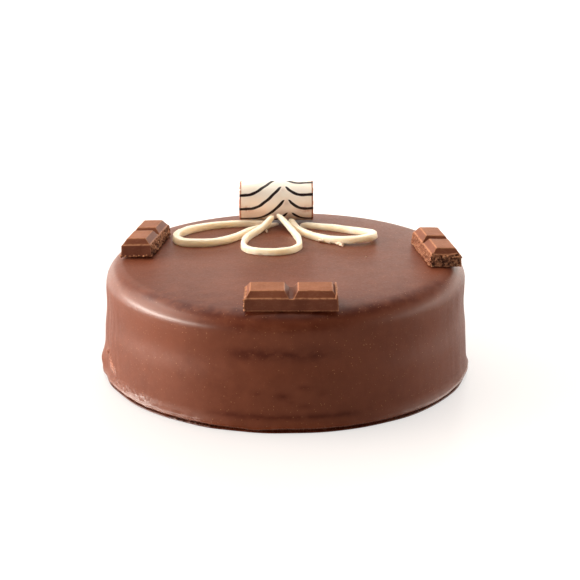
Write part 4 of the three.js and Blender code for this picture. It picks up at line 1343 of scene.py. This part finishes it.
def pool_drops(material):
    """Glossy drops of glaze that stand on the pool at the front left."""
    rng = np.random.default_rng(DROP_SEED)
    places = []
    for degrees in DROP_DEGREES:
        angle = (degrees + rng.uniform(-PLACE_JITTER, PLACE_JITTER)) * DEGREE
        radius = rng.uniform(*DROP_RADII)
        size = rng.uniform(*DROP_SIZES)
        centre = (radius * math.sin(angle), -radius * math.cos(angle), rng.uniform(*DROP_HEIGHTS))
        places.append((centre, size * np.array(DROP_SHAPE)))
    return scattered("pool_drops", material, places, rng, DROP_MARKS)


def strand_drips(material):
    """A burr, a drip and a ragged lower edge on the loops, and a loose speck on the glaze."""
    rng = np.random.default_rng(DRIP_SEED)
    places = []
    for x, y, size in DRIPS:
        places.append(((x, y, surface_height(x, y) + TOUCH_GAP + DRIP_SINK * size[2]), size))
    for share in np.linspace(0, 1, RAGGED_LUMPS):
        x = RAGGED_X + RAGGED_RUN_X * share
        y = RAGGED_Y + RAGGED_RUN_Y * share + rng.uniform(-PLACE_JITTER, PLACE_JITTER)
        size = rng.uniform(*RAGGED_SIZES)
        centre = (x, y, surface_height(x, y) + TOUCH_GAP + RAGGED_SINK * size)
        places.append((centre, size * np.array(RAGGED_SHAPE)))
    return scattered("strand_drips", material, places, rng, DRIP_MARKS)


# Studio

def make_camera():
    data = bpy.data.cameras.new("camera")
    data.sensor_width = SENSOR_WIDTH
    data.lens = FOCAL_LENGTH_PIXELS * SENSOR_WIDTH / IMAGE_SIDE
    data.shift_x = (IMAGE_SIDE / 2 - LENS_AXIS_X) / IMAGE_SIDE
    data.shift_y = (LENS_AXIS_Y - IMAGE_SIDE / 2) / IMAGE_SIDE
    camera = bpy.data.objects.new("camera", data)
    camera.location = CAMERA_PLACE
    camera.rotation_euler = ((90 - CAMERA_ELEVATION) * DEGREE, 0, 0)
    bpy.context.scene.collection.objects.link(camera)
    bpy.context.scene.camera = camera


def make_floor():
    mesh = bpy.data.meshes.new("floor")
    corners = [(x * FLOOR_HALF, y * FLOOR_HALF, 0) for x, y in ((-1, -1), (1, -1), (1, 1), (-1, 1))]
    mesh.from_pydata(corners, [], [(0, 1, 2, 3)])
    mesh.materials.append(floor_material())
    floor = bpy.data.objects.new("floor", mesh)
    bpy.context.scene.collection.objects.link(floor)


def soft_patch(tree, direction, azimuth, half_width, low, high, strength):
    """The light of one soft patch in a direction."""
    to_right = calculate(tree, "MULTIPLY", direction["X"], math.sin(azimuth * DEGREE))
    to_front = calculate(tree, "MULTIPLY", direction["Y"], -math.cos(azimuth * DEGREE))
    level_share = calculate(tree, "SUBTRACT", 1.0, calculate(tree, "POWER", direction["Z"], 2.0))
    level = calculate(tree, "SQRT", level_share)
    cosine = calculate(tree, "DIVIDE", calculate(tree, "ADD", to_right, to_front), level)
    away = calculate(tree, "DEGREES", calculate(tree, "ARCCOSINE", cosine))
    elevation = calculate(tree, "DEGREES", calculate(tree, "ARCSINE", direction["Z"]))
    inside = between(tree, away, low=half_width, high=0.0)
    above = between(tree, elevation, low=low - PATCH_BLUR, high=low + PATCH_BLUR)
    below = between(tree, elevation, low=high + PATCH_BLUR, high=high - PATCH_BLUR)
    shape = calculate(tree, "MULTIPLY", inside, calculate(tree, "MULTIPLY", above, below))
    return calculate(tree, "MULTIPLY", shape, strength)


def make_world():
    """White all round to the eye; as light, soft patches at the left, the right, the back and overhead."""
    world = bpy.data.worlds.new("studio")
    world.use_nodes = True
    bpy.context.scene.world = world
    tree = world.node_tree
    background = tree.nodes["Background"]
    place = add_node(tree, "ShaderNodeTexCoord").outputs["Generated"]
    direction = add_node(tree, "ShaderNodeSeparateXYZ", {"Vector": place}).outputs
    light = 0.0
    for patch in SOFT_PATCHES:
        light = calculate(tree, "ADD", soft_patch(tree, direction, *patch), light)
    seen = add_node(tree, "ShaderNodeLightPath").outputs["Is Camera Ray"]
    strength = add_node(tree, "ShaderNodeMix", {0: seen, 2: light, 3: 1.0}, data_type="FLOAT")
    tree.links.new(blend_colour(tree, seen, LAMP_TINT, WHITE), background.inputs["Color"])
    tree.links.new(strength.outputs[0], background.inputs["Strength"])


make_camera()
make_floor()
make_world()
bpy.context.scene.view_settings.view_transform = "Standard"

glaze = glaze_material()
milk_chocolate = milk_chocolate_material()
white_chocolate = white_chocolate_material("white_chocolate", translucency=1.0)
cake_piece(glaze)
pool_drops(glaze)
for name, laid in PIECES.items():
    laid_piece(name, milk_chocolate, **laid)
for name, piped in LOOPS.items():
    strand_piece(name, white_chocolate, **piped)
roll_piece(marbled_material())
strand_drips(white_chocolate_material("white_chocolate_drips", translucency=0.0))
